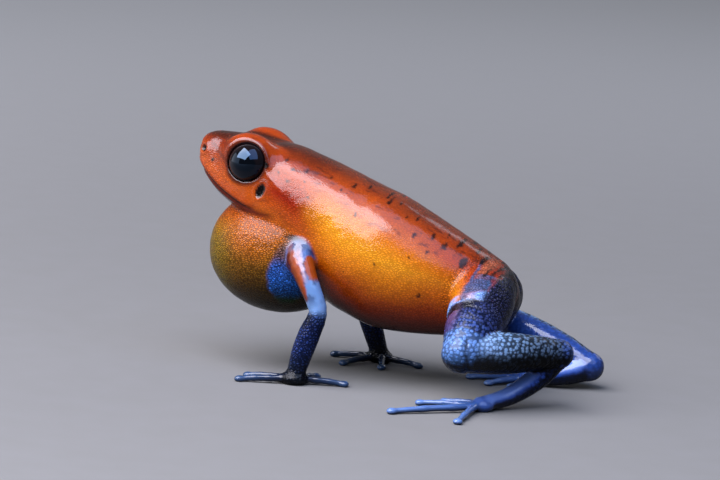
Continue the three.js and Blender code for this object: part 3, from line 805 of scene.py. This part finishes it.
def leg_colours(points, where, wander, fine):
    """The leg: a pale blue fold along the flank's edge with painted shade in the groove below it, a violet
    front to the thigh with a painted reddish highlight, pale blotches on the knee and the start of the shank,
    painted shade that turns black the knee's bend and low side and the underside of the shank and darkens the
    undersides of the tarsus and foot, and a bright blue tarsus and foot with a painted highlight on the
    tarsus's top."""
    down = where["leg", "down"] + 0.02 * fine
    lead, up = where["lead"], where["up"]
    z = points[:, 2]
    colour = ramp(down, (0.0, "#1c2038"), (0.55, "#282c50"), (0.8, "#2c3c74"), (1.0, "#4c74b0"),
                  (1.15, "#7c9cc8"), (1.35, "#6a88ac"), (1.6, "#4c6078"), (1.9, "#3a4a60"), (2.1, "#304c9c"),
                  (2.4, "#325abc"), (3.0, "#304e94"), (3.3, "#40609e"), (4.0, "#6080b8"))
    inner = inner_shank(where, down) * smooth(2.1, 2.0, down)
    front = smooth(-0.35, -0.9, lead + 0.15 * wander) * smooth(0.9, 0.78, down)
    knee = smooth(0.84, 0.95, down + 0.05 * wander) * smooth(1.12, 1.02, down)
    shank = span(down, 1.0, 1.06, 1.95, 2.1)
    # Painted shade low on the knee, near the floor.
    below = smooth(3.6, 3.0, z + 0.3 * wander)
    tarsus = span(down, 2.0, 2.15, 2.9, 3.05)
    foot = smooth(2.95, 3.1, down)
    # Painted shade in the fold inside the bent knee.
    bent = span(down, 0.9, 0.97, 1.03, 1.12) * smooth(2.2, 3.0, z)
    crease_shade = bump(lead - KNEE_FOLD_LEAD - 0.15 * (4.0 - z), 0.09) * smooth(4.75, 4.45, z)
    past_edge = 0.02 * fine - where["edge"]
    fold = smooth(0.9, 0.1, lead) * smooth(4.2, 5.0, z)
    return paint(
        colour,
        ("#24448e", 0.95 * inner * smooth(-0.4, 0.2, up)),
        ("#4a3c68", 0.9 * front),
        # Painted highlight: a reddish sheen on the thigh's front.
        ("#6c4050", 0.7 * bump(lead + 1.0, 0.3) * smooth(0.8, 0.6, down)),
        ("#6488c4", 0.7 * knee * smooth(3.3, 4.0, z)),
        # Painted shade where the shank, tarsus and foot face down and low on the knee, and a painted highlight
        # where the tarsus faces up.
        ("#04050a", 0.95 * shank * smooth(0.3, -0.25, up + 0.2 * wander) * (1 - 0.7 * inner)),
        ("#0a0a12", 0.95 * span(down, 0.75, 0.9, 1.2, 1.4) * below),
        ("#04060c", 0.93 * tarsus * smooth(0.2, -0.15, up + 0.15 * fine)),
        ("#7494e0", 0.85 * tarsus * smooth(0.15, 0.5, up)),
        ("#141d3c", 0.8 * foot * smooth(0.1, -0.5, up)),
        ("#090b14", 0.9 * bent * crease_shade),
        ("#8ab2f4", fold * span(past_edge, -0.08, -0.03, 0.05, 0.08)),
        # Painted shade in the groove below the fold.
        ("#0a0c1c", fold * bump(past_edge - 0.095, 0.03)),
    )


def hip_colours(colour, where, near_hip, fine):
    """The colour with the hip's pattern over it, where the flank's skin ends on the thigh: a rust patch, a
    red one with black stripes, and a blue-grey edge with a tongue at its front."""
    lead, edge = where["lead"], where["edge"]
    striped = near_hip * inside(lead, edge, (0.7, 0.3), (0.5, 0.3), 0.3)
    grey = inside(lead + 0.2 * fine, edge, (-0.1, 0.05), (0.85, 0.14), 0.25)
    grey = np.maximum(grey, inside(lead + 0.4 * (edge - 0.2), edge, (-0.6, 0.24), (0.11, 0.18), 0.25))
    return paint(
        colour,
        ("#a8583c", 0.85 * near_hip * inside(lead, edge, (-0.1, 0.34), (0.45, 0.2), 0.3)),
        ("#8c2006", 0.8 * striped),
        ("#140708", 0.9 * striped * smooth(0.0, 0.35, np.sin(lead * 15 + 1.5 * fine))),
        ("#37527a", 0.92 * near_hip * grey),
    )


def specks(where, fine):
    """How black each point is with specks: ellipses a little longer down the body than along it."""
    black = np.zeros(len(fine))
    for i, (at_s, at_t, size) in enumerate(SPECKS):
        for sign, shift in ((-1, 0.0), (1, SPECK_SHIFT * math.sin(7.0 * i))):
            spot = np.hypot((where["s"] - at_s - shift) / SPECK_WIDTH, where["t"] - at_t)
            spot = spot / size + 0.6 * fine
            black = np.maximum(black, smooth(1.05, 0.7, spot) * (sign * where["side"] > 0))
    return black


def head_colours(colour, points, where, zones, fine):
    """The colour with the head's own over it: painted shade below the mouth and in its slit, the lip, lids,
    the ridge before the eye, painted shade in the nostrils, eardrums, the dark skin round each eye with
    painted shade where it meets the ball and in the eye's rear corner, and painted shade in the fold above the
    arm."""
    trunk, head, lids, drum = zones
    s, side, t = (where[k] for k in ("s", "side", "t"))
    out = np.abs(side)
    gap = t - mouth_level(s)
    mouth = head * smooth(MOUTH_END + 0.2, MOUTH_END - 1.0, s + 0.3 * fine)
    # Painted shade on the side of the head below the mouth.
    jaw_shade = trunk * smooth(7.4, 6.0, s) * smooth(0.1, -0.1, gap) * smooth(-1.1, -0.5, gap)
    ridge = bump(t - 1.45 + 0.28 * s, 0.16) * span(s, 0.8, 1.2, 2.4, 2.9)
    colour = paint(
        colour,
        ("#681604", 0.75 * jaw_shade),
        # Painted shade in the mouth's slit.
        ("#1c0604", mouth * bump(gap, 0.075)),
        ("#b0460c", 0.6 * mouth * bump(gap - 0.33, 0.18)),
        ("#a83c08", 0.8 * lids),
        ("#3c1006", 0.5 * head * ridge * smooth(0.9, 1.3, out)),
        # Painted shade in the nostril.
        ("#060303", head * smooth(0.21, 0.14, nostril_distance(s, side, t))),
        ("#0a0303", drum),
    )
    for name, sign in SIDES.items():
        d = np.linalg.norm(points - eye_centre(name), axis=1) - EYE_RADIUS
        corner = np.hypot(s - EYE_AT[0] - 1.08, 1.4 * (t - EYE_AT[2] - 0.45))
        corner += FARTHEST * (sign * side < 2.0) + 0.1 * fine
        colour = paint(
            colour,
            # Dark skin round the eye, then painted shade where the lid meets the ball and in the eye's rear
            # corner.
            ("#3c1006", 0.8 * smooth(0.34, 0.14, d)),
            ("#080304", smooth(0.14, 0.06, d)),
            ("#0a0404", smooth(0.36, 0.26, corner)),
        )
    # Painted shade in the fold above the arm.
    crease_shade = inside(points[:, 0], points[:, 2], (-3.3, 8.72), (0.5, 0.16), 0.5) * smooth(2.6, 3.2, out)
    return paint(colour, ("#140a06", 0.85 * crease_shade))


def skin_colours(points, where):
    """The skin's colour at each point, before the fine pattern that the material adds, and the shares that
    guide that pattern: granule (domes with dark gaps), coarse (larger domes), shagreen (leathery grain),
    streak (dark flecks) and gloss (the smooth eardrums)."""
    s, side, t, q = (where[k] for k in ("s", "side", "t", "q"))
    x, z = points[:, 0], points[:, 2]
    limb, lead, edge, down = where["limb"], where["lead"], where["edge"], where["leg", "down"]
    sac = where["sac"] * (1 - limb)
    trunk = (1 - limb) * (1 - sac)
    head = trunk * smooth(*HEAD_FADE, s)
    lids = head * inside(s, np.abs(side), (3.8, 1.9), (1.9, 1.0), 0.25) * smooth(1.5, 2.0, t)
    drum = head * smooth(1.05, 0.85, oval(s, t, EAR_AT, EAR_RADII)) * smooth(*EAR_FADE, np.abs(side))
    near_hip = where["hip"] * trunk
    wander = mottle(points, 1.3, 21)
    fine = mottle(points, 0.45, 22)
    rump = (1 - limb) * smooth(9.0, 9.6, x - 0.25 * np.abs(side) + 0.2 * fine) * smooth(4.0, 5.0, z)
    rump = np.maximum(rump, trunk * smooth(21.6, 22.3, s + 0.3 * fine))

    patch, tint = throat_patch(points, where, wander, fine)
    colour = blend(body_colours(points, where, wander), tint, patch)
    colour = hip_colours(colour, where, near_hip, fine)
    colour = paint(colour, ("#121624", 0.95 * rump))
    colour = blend(colour, arm_colours(where, fine), where["arm"])
    colour = blend(colour, leg_colours(points, where, wander, fine), where["leg"])
    colour = paint(colour, ("#0c0505", 0.92 * specks(where, fine) * trunk))
    colour = head_colours(colour, points, where, (trunk, head, lids, drum), fine)

    # Granules are worn smooth on the thigh's front, the tarsus's top, the crescent along the hip's edge,
    # the inner side of the shank and the knee.
    crescent = smooth(4.2, 5.0, z) * smooth(0.9, 0.1, lead) * span(edge, -0.14, -0.1, -0.03, 0.02)
    forearm = where["arm"] * span(where["arm", "down"], 0.98, 1.12, 1.95, 2.2)
    granule = where["leg"] * smooth(2.9, 2.2, down) * (1 - crescent)
    granule *= 1 - 0.85 * smooth(-0.5, -1.0, lead) * smooth(0.9, 0.78, down)
    granule *= 1 - 0.95 * smooth(1.95, 2.1, down) * smooth(0.0, 0.3, where["up"])
    granule = np.maximum(np.maximum(granule, 0.9 * forearm), np.maximum(0.55 * patch, 0.9 * rump))
    granule *= 1 - 0.75 * inner_shank(where, down) * where["leg"]
    granule *= 1 - 0.45 * bump(down - 1.08, 0.22)
    coarse = where["leg"] * smooth(0.45, 0.85, down)
    shagreen = np.clip(trunk * (0.28 + 0.22 * smooth(0.9, 0.6, q) * smooth(5.5, 8.0, s)) + sac, 0, 1)
    shagreen = np.maximum(shagreen, 0.9 * np.maximum(near_hip, crescent))
    shagreen = np.maximum(shagreen, 0.52 * head * smooth(3.9, 2.9, s)) * (1 - 0.6 * lids)
    back = smooth(0.7, 0.88, q) * (0.5 + 0.5 * smooth(4.0, 8.0, s))
    streak = trunk * np.maximum(back, 0.45 * smooth(8.5, 7.0, s))
    return colour, dict(zip(SHARES, (granule, coarse, shagreen, streak, drum)))


def add_mesh(name, points, faces, offset):
    """A smooth-shaded mesh object at the origin, from points in millimetres in the pose's axes."""
    mesh = bpy.data.meshes.new(name)
    place = (np.asarray(points) - offset) * MM
    faces = np.asarray(faces)
    mesh.vertices.add(len(place))
    mesh.vertices.foreach_set("co", place.astype(np.float32).ravel())
    mesh.loops.add(faces.size)
    mesh.loops.foreach_set("vertex_index", faces.astype(np.int32).ravel())
    mesh.polygons.add(len(faces))
    mesh.polygons.foreach_set("loop_start", np.arange(0, faces.size, faces.shape[1], dtype=np.int32))
    mesh.update(calc_edges=True)
    mesh.validate()
    mesh.polygons.foreach_set("use_smooth", np.ones(len(mesh.polygons), bool))
    piece = bpy.data.objects.new(name, mesh)
    bpy.context.scene.collection.objects.link(piece)
    return piece


def grid_quads(rows, columns, closed=False):
    """The quads of a grid of points given row by row. The last column of a closed one joins the first."""
    i, j = np.meshgrid(np.arange(rows - 1), np.arange(columns if closed else columns - 1), indexing="ij")
    here, after = i * columns + j, i * columns + (j + 1) % columns
    return np.stack([here, here + columns, after + columns, after], -1).reshape(-1, 4)


def add_attribute(piece, name, values):
    """Stores a number or a colour for each vertex of a piece."""
    values = np.asarray(values, np.float32)
    if values.ndim == 1:
        layer = piece.data.attributes.new(name, "FLOAT", "POINT")
        layer.data.foreach_set("value", values)
    else:
        layer = piece.data.attributes.new(name, "FLOAT_COLOR", "POINT")
        opaque = np.ones((len(values), 1), np.float32)
        layer.data.foreach_set("color", np.concatenate([values, opaque], axis=1).ravel())


def node(material, kind, settings=None, out=0, **links):
    """Adds a node to a material and returns its output called out. settings holds its properties, and the
    values of its sockets by name or number. links holds the output that feeds each linked socket, which is
    given by its name with _ for a space, or by in and its number."""
    tree = material.node_tree
    made = tree.nodes.new(kind)
    for key, value in (settings or {}).items():
        if isinstance(key, int) or key in made.inputs:
            made.inputs[key].default_value = value
        else:
            setattr(made, key, value)
    for key, source in links.items():
        if key.startswith("in"):
            socket = made.inputs[int(key[2:])]
        else:
            socket = made.inputs[key.replace("_", " ")]
        tree.links.new(source, socket)
    return made.outputs[out] if made.outputs else None


def new_material(name):
    """An empty material with nodes."""
    material = bpy.data.materials.new(name)
    material.use_nodes = True
    material.node_tree.nodes.clear()
    return material


def finish_material(material, surface):
    """Links the surface to the material's output."""
    node(material, "ShaderNodeOutputMaterial", Surface=surface)
    return material


def colour4(hex_colour):
    """An sRGB hex colour as linear red, green, blue and alpha."""
    return (*linear(hex_colour), 1.0)


def frog_skin():
    """Living skin under a film of slime. A little light glows through the pigment, and the film mirrors the
    lamps. The throat and flanks are grained like leather, in grains of 0.11 to 0.19 mm; the shanks are
    domed granules 0.25 mm apart, and the rest of the limbs and the rump have them 0.19 mm apart, with dark
    gaps; and dark flecks run along the back. The film is thinnest over the roughest skin, and the eardrums
    are the glossiest."""
    m = new_material("moist_frog_skin")
    place = node(m, "ShaderNodeTexCoord", out="Object")
    base = node(m, "ShaderNodeAttribute", {"attribute_name": "skin_colour"}, out="Color")
    granule, coarse, shagreen, streak, gloss = [
        node(m, "ShaderNodeAttribute", {"attribute_name": name}, out="Fac") for name in SHARES]

    # Cells: granules in two sizes, each with round domes, and leathery grain.
    warp = node(m, "ShaderNodeTexNoise", {"Scale": BENDS_PER_MM / MM, "Detail": 1.0}, "Color", Vector=place)
    warp = node(m, "ShaderNodeVectorMath", {"operation": "SCALE", "Scale": 0.12 * MM}, in0=warp)
    bent = node(m, "ShaderNodeVectorMath", {"operation": "ADD"}, in0=place, in1=warp)
    rounded = {"interpolation_type": "SMOOTHSTEP"}
    edges = {"feature": "DISTANCE_TO_EDGE", "Randomness": 0.8}
    large = node(m, "ShaderNodeTexVoronoi", {"Scale": COARSE_PER_MM / MM, "Randomness": 0.7}, Vector=bent)
    large = node(m, "ShaderNodeMapRange", {
        "From Min": 0.66, "From Max": 0.3, "To Min": 0.05, "To Max": 0.34}, Value=large)
    small = node(m, "ShaderNodeTexVoronoi", {**edges, "Scale": FINE_PER_MM / MM}, Vector=bent)
    cells = node(m, "ShaderNodeMix", {"data_type": "FLOAT"}, in0=coarse, in2=small, in3=large)
    dome = node(m, "ShaderNodeMapRange", {**rounded, "From Min": 0.05, "From Max": 0.34}, Value=cells)
    level = node(m, "ShaderNodeMapping", {
        "Rotation": (0.0, BODY_PITCH, 0.0), "Scale": [n / MM for n in LEATHER_PER_MM]}, Vector=bent)
    grit = node(m, "ShaderNodeTexVoronoi", {**edges, "Scale": 1.0}, Vector=level)
    grain = node(m, "ShaderNodeMapRange", {**rounded, "From Min": 0.02, "From Max": 0.3}, Value=grit)
    long_way = node(m, "ShaderNodeMapping", {
        "Rotation": (0.0, BODY_PITCH, 0.0), "Scale": [n / MM for n in FLECKS_PER_MM]}, Vector=place)
    fleck = node(m, "ShaderNodeTexNoise", {"Scale": 1.0, "Detail": 4.0, "Roughness": 0.6}, Vector=long_way)

    # Colour: darker in the gaps, paler on the domes, with the flecks over it.
    gaps = node(m, "ShaderNodeMapRange", {"To Min": 0.15, "To Max": 1.4}, Value=dome)
    gaps = node(m, "ShaderNodeMix", {"data_type": "FLOAT", 2: 1.0}, in0=granule, in3=gaps)
    shade = node(m, "ShaderNodeMapRange", {"To Min": 0.42, "To Max": 1.4}, Value=grain)
    shade = node(m, "ShaderNodeMix", {"data_type": "FLOAT", 2: 1.0}, in0=shagreen, in3=shade)
    tone = node(m, "ShaderNodeMath", {"operation": "MULTIPLY"}, in0=gaps, in1=shade)
    toned = node(m, "ShaderNodeVectorMath", {"operation": "SCALE"}, in0=base, in3=tone)
    dark = node(m, "ShaderNodeMapRange", {"From Min": 0.54, "From Max": 0.68}, Value=fleck)
    dark = node(m, "ShaderNodeMath", {"operation": "MULTIPLY"}, in0=dark, in1=streak)
    dark = node(m, "ShaderNodeMath", {"operation": "MULTIPLY", 1: 0.75}, in0=dark)
    coloured = node(m, "ShaderNodeMix", {"data_type": "RGBA", 7: colour4("#2a0a04")}, 2, in0=dark, in6=toned)

    # Height: granules in full, grain at 0.4 of that and pores at 0.2, with less of it all on the film.
    high = node(m, "ShaderNodeMath", {"operation": "MULTIPLY"}, in0=dome, in1=granule)
    low = node(m, "ShaderNodeMath", {"operation": "MULTIPLY"}, in0=grain, in1=shagreen)
    height = node(m, "ShaderNodeMath", {"operation": "MULTIPLY_ADD", 1: 0.4}, in0=low, in2=high)
    pores = node(m, "ShaderNodeTexNoise", {"Scale": PORES_PER_MM / MM, "Detail": 3.0}, Vector=place)
    height = node(m, "ShaderNodeMath", {"operation": "MULTIPLY_ADD", 1: 0.2}, in0=pores, in2=height)
    bumped = node(m, "ShaderNodeBump", {"Strength": 1.0, "Distance": 0.06 * MM}, Height=height)
    soft = node(m, "ShaderNodeBump", {"Strength": 0.36, "Distance": 0.05 * MM}, Height=height)
    rough = node(m, "ShaderNodeMapRange", {"To Min": 0.4, "To Max": 0.12}, Value=gloss)
    dry = node(m, "ShaderNodeMath", {"operation": "MULTIPLY", 1: 0.8}, in0=shagreen)
    dry = node(m, "ShaderNodeMath", {"operation": "MAXIMUM"}, in0=dry, in1=granule)
    film = node(m, "ShaderNodeMapRange", {"To Min": 1.0, "To Max": 0.2}, Value=dry)
    skin = node(m, "ShaderNodeBsdfPrincipled", {
        "IOR": 1.36, "Specular IOR Level": 0.03, "Coat Roughness": 0.11, "Coat IOR": 1.33,
        "Subsurface Weight": 0.1, "Subsurface Radius": (1.0, 0.4, 0.2), "Subsurface Scale": 0.3 * MM,
    }, Base_Color=coloured, Roughness=rough, Normal=bumped, Coat_Normal=soft, Coat_Weight=film)
    return finish_material(m, skin)


def wet_eye():
    """The cornea over a nearly black iris: a clear wet dome that mirrors the lamps sharply. They look pale
    blue in it, as the sky does, through the tint of its mirroring."""
    m = new_material("wet_black_cornea")
    place = node(m, "ShaderNodeTexCoord", out="Object")
    pupil = node(m, "ShaderNodeAttribute", {"attribute_name": "pupil"}, out="Fac")
    flecks = node(m, "ShaderNodeTexNoise", {"Scale": PORES_PER_MM / MM, "Detail": 3.0}, Vector=place)
    iris = node(m, "ShaderNodeMix", {
        "data_type": "RGBA", 6: colour4("#050304"), 7: colour4("#0c0504")}, 2, in0=flecks)
    colour = node(m, "ShaderNodeMix", {"data_type": "RGBA", 7: colour4("#010102")}, 2, in0=pupil, in6=iris)
    eye = node(m, "ShaderNodeBsdfPrincipled", {
        "Roughness": 0.04, "IOR": 1.4, "Specular IOR Level": 0.5, "Specular Tint": (0.4, 0.65, 1.0, 1.0),
    }, Base_Color=colour)
    return finish_material(m, eye)


def pale_card():
    """Matte paper card with a faint tooth. It is paler further off, where less light reaches it."""
    m = new_material("matte_paper_card")
    place = node(m, "ShaderNodeTexCoord", out="Object")
    tooth = node(m, "ShaderNodeTexNoise", {"Scale": TOOTH_PER_MM / MM, "Detail": 2.0}, Vector=place)
    far = node(m, "ShaderNodeVectorMath", {"operation": "LENGTH"}, "Value", in0=place)
    far = node(m, "ShaderNodeMapRange", {
        "interpolation_type": "SMOOTHSTEP", "From Min": 20 * MM, "From Max": 400 * MM}, Value=far)
    card = node(m, "ShaderNodeMix", {
        "data_type": "RGBA", 6: colour4("#4a4947"), 7: colour4("#4d4c4b")}, 2, in0=tooth)
    colour = node(m, "ShaderNodeMix", {"data_type": "RGBA", 7: colour4("#a2a2a0")}, 2, in0=far, in6=card)
    card = node(m, "ShaderNodeBsdfPrincipled", {
        "Roughness": 0.9, "Specular IOR Level": 0.2}, Base_Color=colour)
    return finish_material(m, card)


def pose_offset():
    """What takes the pose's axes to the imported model's: both know where the left eye is."""
    low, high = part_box("eye_left")
    return eye_centre("left", 0.0) - (np.array(low) + np.array(high)) / 2 / MM


class FrogSettings(bpy.types.PropertyGroup):
    """What a user would change: the depth of the relief, and the lights"""
    relief: bpy.props.FloatProperty(
        name="Relief", description="How strongly folds, lips and wrinkles stand out",
        default=1.0, min=0.0, max=2.0)
    key_power: bpy.props.FloatProperty(
        name="Overhead light", description="Power of the large soft light above the head",
        default=2.8, min=0.0, unit="POWER")
    fill_power: bpy.props.FloatProperty(
        name="Fill light", description="Power of the light in front",
        default=0.32, min=0.0, unit="POWER")
    sky_power: bpy.props.FloatProperty(
        name="Sky light", description="Power of the blue light above the rump",
        default=0.62, min=0.0, unit="POWER")
    rim_power: bpy.props.FloatProperty(
        name="Rim light", description="Power of the light behind",
        default=0.08, min=0.0, unit="POWER")
    world_light: bpy.props.FloatProperty(
        name="Room light", description="Strength of the even light of the room", default=0.24, min=0.0)
    room_colour: bpy.props.FloatVectorProperty(
        name="Room colour", description="Colour of the even light", subtype="COLOR",
        default=tuple(linear("#dfe4ea")))


class FROG_OT_skin(bpy.types.Operator):
    """Builds the frog's skin as one seamless piece, from the snout to the tips of the toes"""
    bl_idname = "frog.skin"
    bl_label = "Build skin"

    def execute(self, context):
        offset = pose_offset()
        points, quads = skin_surface()
        where = body_map(points)
        _, slope = skin_slope(points)
        normal = slope / np.maximum(np.linalg.norm(slope, axis=1), 1e-9)[:, None]
        where["up"] = normal[:, 2]
        where["inward"] = -np.sign(points[:, 1]) * normal[:, 1]
        colour, shares = skin_colours(points, where)
        points = points + normal * (relief(points, where) * context.scene.frog.relief)[:, None]
        points[:, 2] = np.maximum(points[:, 2], 0.0)
        piece = add_mesh("skin", points, quads, offset)
        if len(piece.data.vertices) != len(points):
            raise RuntimeError("the skin lost vertices when it was checked")
        add_attribute(piece, "skin_colour", colour * PIGMENT)
        for name, values in shares.items():
            add_attribute(piece, name, values)
        piece.data.materials.append(frog_skin())
        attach(piece, "root")
        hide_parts(*[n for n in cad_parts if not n.startswith("eye_")])
        return {"FINISHED"}


def eye_surface(axis, across, over):
    """A ball's points and triangles, from two angles: its radius times the tilt's cosine along the axis,
    and times the tilt's sine by the turn's cosine and sine along the other two. It swells towards the pole
    that looks out."""
    tilt = np.linspace(0, math.pi, EYE_ROWS + 1)[1:-1]
    turn = np.linspace(0, 2 * math.pi, EYE_COLUMNS, endpoint=False)
    tilt, turn = np.meshgrid(tilt, turn, indexing="ij")
    radius = EYE_RADIUS * (1 + CORNEA_SWELL * smooth(0.75, 1.0, np.cos(tilt)))
    shares = (np.cos(tilt), np.sin(tilt) * np.cos(turn), np.sin(tilt) * np.sin(turn))
    ball = sum(share[..., None] * way for share, way in zip(shares, (axis, across, over)))
    ball *= radius[..., None]
    points = np.vstack([ball.reshape(-1, 3), axis * EYE_RADIUS * (1 + CORNEA_SWELL), -axis * EYE_RADIUS])
    quads = grid_quads(EYE_ROWS - 1, EYE_COLUMNS, closed=True)
    ring = np.arange(EYE_COLUMNS)
    after = (ring + 1) % EYE_COLUMNS
    last = (EYE_ROWS - 2) * EYE_COLUMNS
    caps = np.vstack([
        np.stack([ring, after, np.full(EYE_COLUMNS, len(points) - 2)], -1),
        np.stack([last + after, last + ring, np.full(EYE_COLUMNS, len(points) - 1)], -1),
    ])
    return points, np.vstack([quads[:, [2, 3, 0]], quads[:, [1, 2, 0]], caps])


class FROG_OT_eyes(bpy.types.Operator):
    """Builds each eye as a ball with a slightly raised cornea"""
    bl_idname = "frog.eyes"
    bl_label = "Build eyes"

    def execute(self, context):
        offset = pose_offset()
        material = wet_eye()
        for side in SIDES:
            axis = eye_axis(side)
            across = np.cross(axis, OUTWARD)
            across /= np.linalg.norm(across)
            over = np.cross(across, axis)
            points, faces = eye_surface(axis, across, over)
            piece = add_mesh(f"eyeball_{side}", points + eye_centre(side), faces, offset)
            pupil = oval(points @ across, points @ over, (0.0, 0.0), PUPIL_RADII) / EYE_RADIUS
            add_attribute(piece, "pupil", smooth(1.12, 0.95, pupil))
            piece.data.materials.append(material)
            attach(piece, "root")
            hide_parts(f"eye_{side}")
        return {"FINISHED"}


def aim(thing, place, target):
    """Puts an object at place, looking at target, both in metres."""
    turn = (target - place).to_track_quat("-Z", "Y").to_matrix().to_4x4()
    thing.matrix_world = Matrix.Translation(place) @ turn


def photo_camera(offset):
    """The camera of the photograph: back from its target by its distance, along a way given by azimuth and
    elevation, and rolled about that way."""
    a, e, r = (math.radians(v) for v in (CAMERA_AZIMUTH, CAMERA_ELEVATION, CAMERA_ROLL))
    back = np.array([math.sin(a) * math.cos(e), -math.cos(a) * math.cos(e), math.sin(e)])
    level = np.array([math.cos(a), math.sin(a), 0.0])
    upright = np.cross(back, level)
    right = math.cos(r) * level + math.sin(r) * upright
    up = math.cos(r) * upright - math.sin(r) * level
    lens = bpy.data.cameras.new("camera")
    lens.sensor_width = SENSOR_WIDTH
    lens.lens = SENSOR_WIDTH / (PICTURE_WIDTH * PIXEL) * CAMERA_DISTANCE
    lens.clip_start = 0.01
    lens.clip_end = 20.0
    camera = bpy.data.objects.new("camera", lens)
    place = (CAMERA_TARGET + back * CAMERA_DISTANCE - offset) * MM
    camera.matrix_world = Matrix.Translation(Vector(place)) @ Matrix((right, up, back)).transposed().to_4x4()
    return camera


class FROG_OT_stage(bpy.types.Operator):
    """Sets the plain pale floor, the soft lights and the camera"""
    bl_idname = "frog.stage"
    bl_label = "Set stage"

    def execute(self, context):
        scene = context.scene
        offset = pose_offset()
        ground = offset * np.array([1, 1, 0])
        line = np.linspace(-FLOOR_REACH, FLOOR_REACH, FLOOR_LINES)
        x, y = np.meshgrid(line, line, indexing="ij")
        points = np.stack([x, y, np.zeros_like(x)], -1).reshape(-1, 3) / MM + ground
        floor = add_mesh("floor", points, grid_quads(FLOOR_LINES, FLOOR_LINES), ground)
        floor.data.materials.append(pale_card())

        world = bpy.data.worlds.new("studio")
        world.use_nodes = True
        background = world.node_tree.nodes["Background"]
        background.inputs["Color"].default_value = (*scene.frog.room_colour, 1.0)
        background.inputs["Strength"].default_value = scene.frog.world_light
        scene.world = world

        for name, place, target, size, power, tint in LAMPS:
            data = bpy.data.lights.new(name, "AREA")
            data.shape = "RECTANGLE"
            data.size, data.size_y = size
            data.energy = getattr(scene.frog, power)
            data.color = tuple(linear(tint))
            lamp = bpy.data.objects.new(name, data)
            scene.collection.objects.link(lamp)
            aim(lamp, *[Vector((np.array(spot) - offset) * MM) for spot in (place, target)])

        scene.camera = photo_camera(offset)
        scene.collection.objects.link(scene.camera)
        # The default transform would grey the skin's deep reds and blues.
        scene.view_settings.view_transform = "Standard"
        return {"FINISHED"}


class FROG_PT_panel(bpy.types.Panel):
    """Lists the settings and the operators in the sidebar"""
    bl_idname = "FROG_PT_panel"
    bl_label = "Poison dart frog"
    bl_space_type = "VIEW_3D"
    bl_region_type = "UI"
    bl_category = "Frog"

    def draw(self, context):
        for name in FrogSettings.__annotations__:
            self.layout.prop(context.scene.frog, name)
        for operator in OPERATORS:
            self.layout.operator(operator.bl_idname)


OPERATORS = (FROG_OT_skin, FROG_OT_eyes, FROG_OT_stage)
CLASSES = (FrogSettings, *OPERATORS, FROG_PT_panel)


def register():
    """Registers the classes and gives each scene its settings."""
    for cls in CLASSES:
        bpy.utils.register_class(cls)
    bpy.types.Scene.frog = bpy.props.PointerProperty(type=FrogSettings)


def unregister():
    """Takes back what register does."""
    del bpy.types.Scene.frog
    for cls in reversed(CLASSES):
        bpy.utils.unregister_class(cls)


def main():
    """Builds the frog and its stage."""
    register()
    for build in (bpy.ops.frog.skin, bpy.ops.frog.eyes, bpy.ops.frog.stage):
        build()


if __name__ == "__main__":
    main()
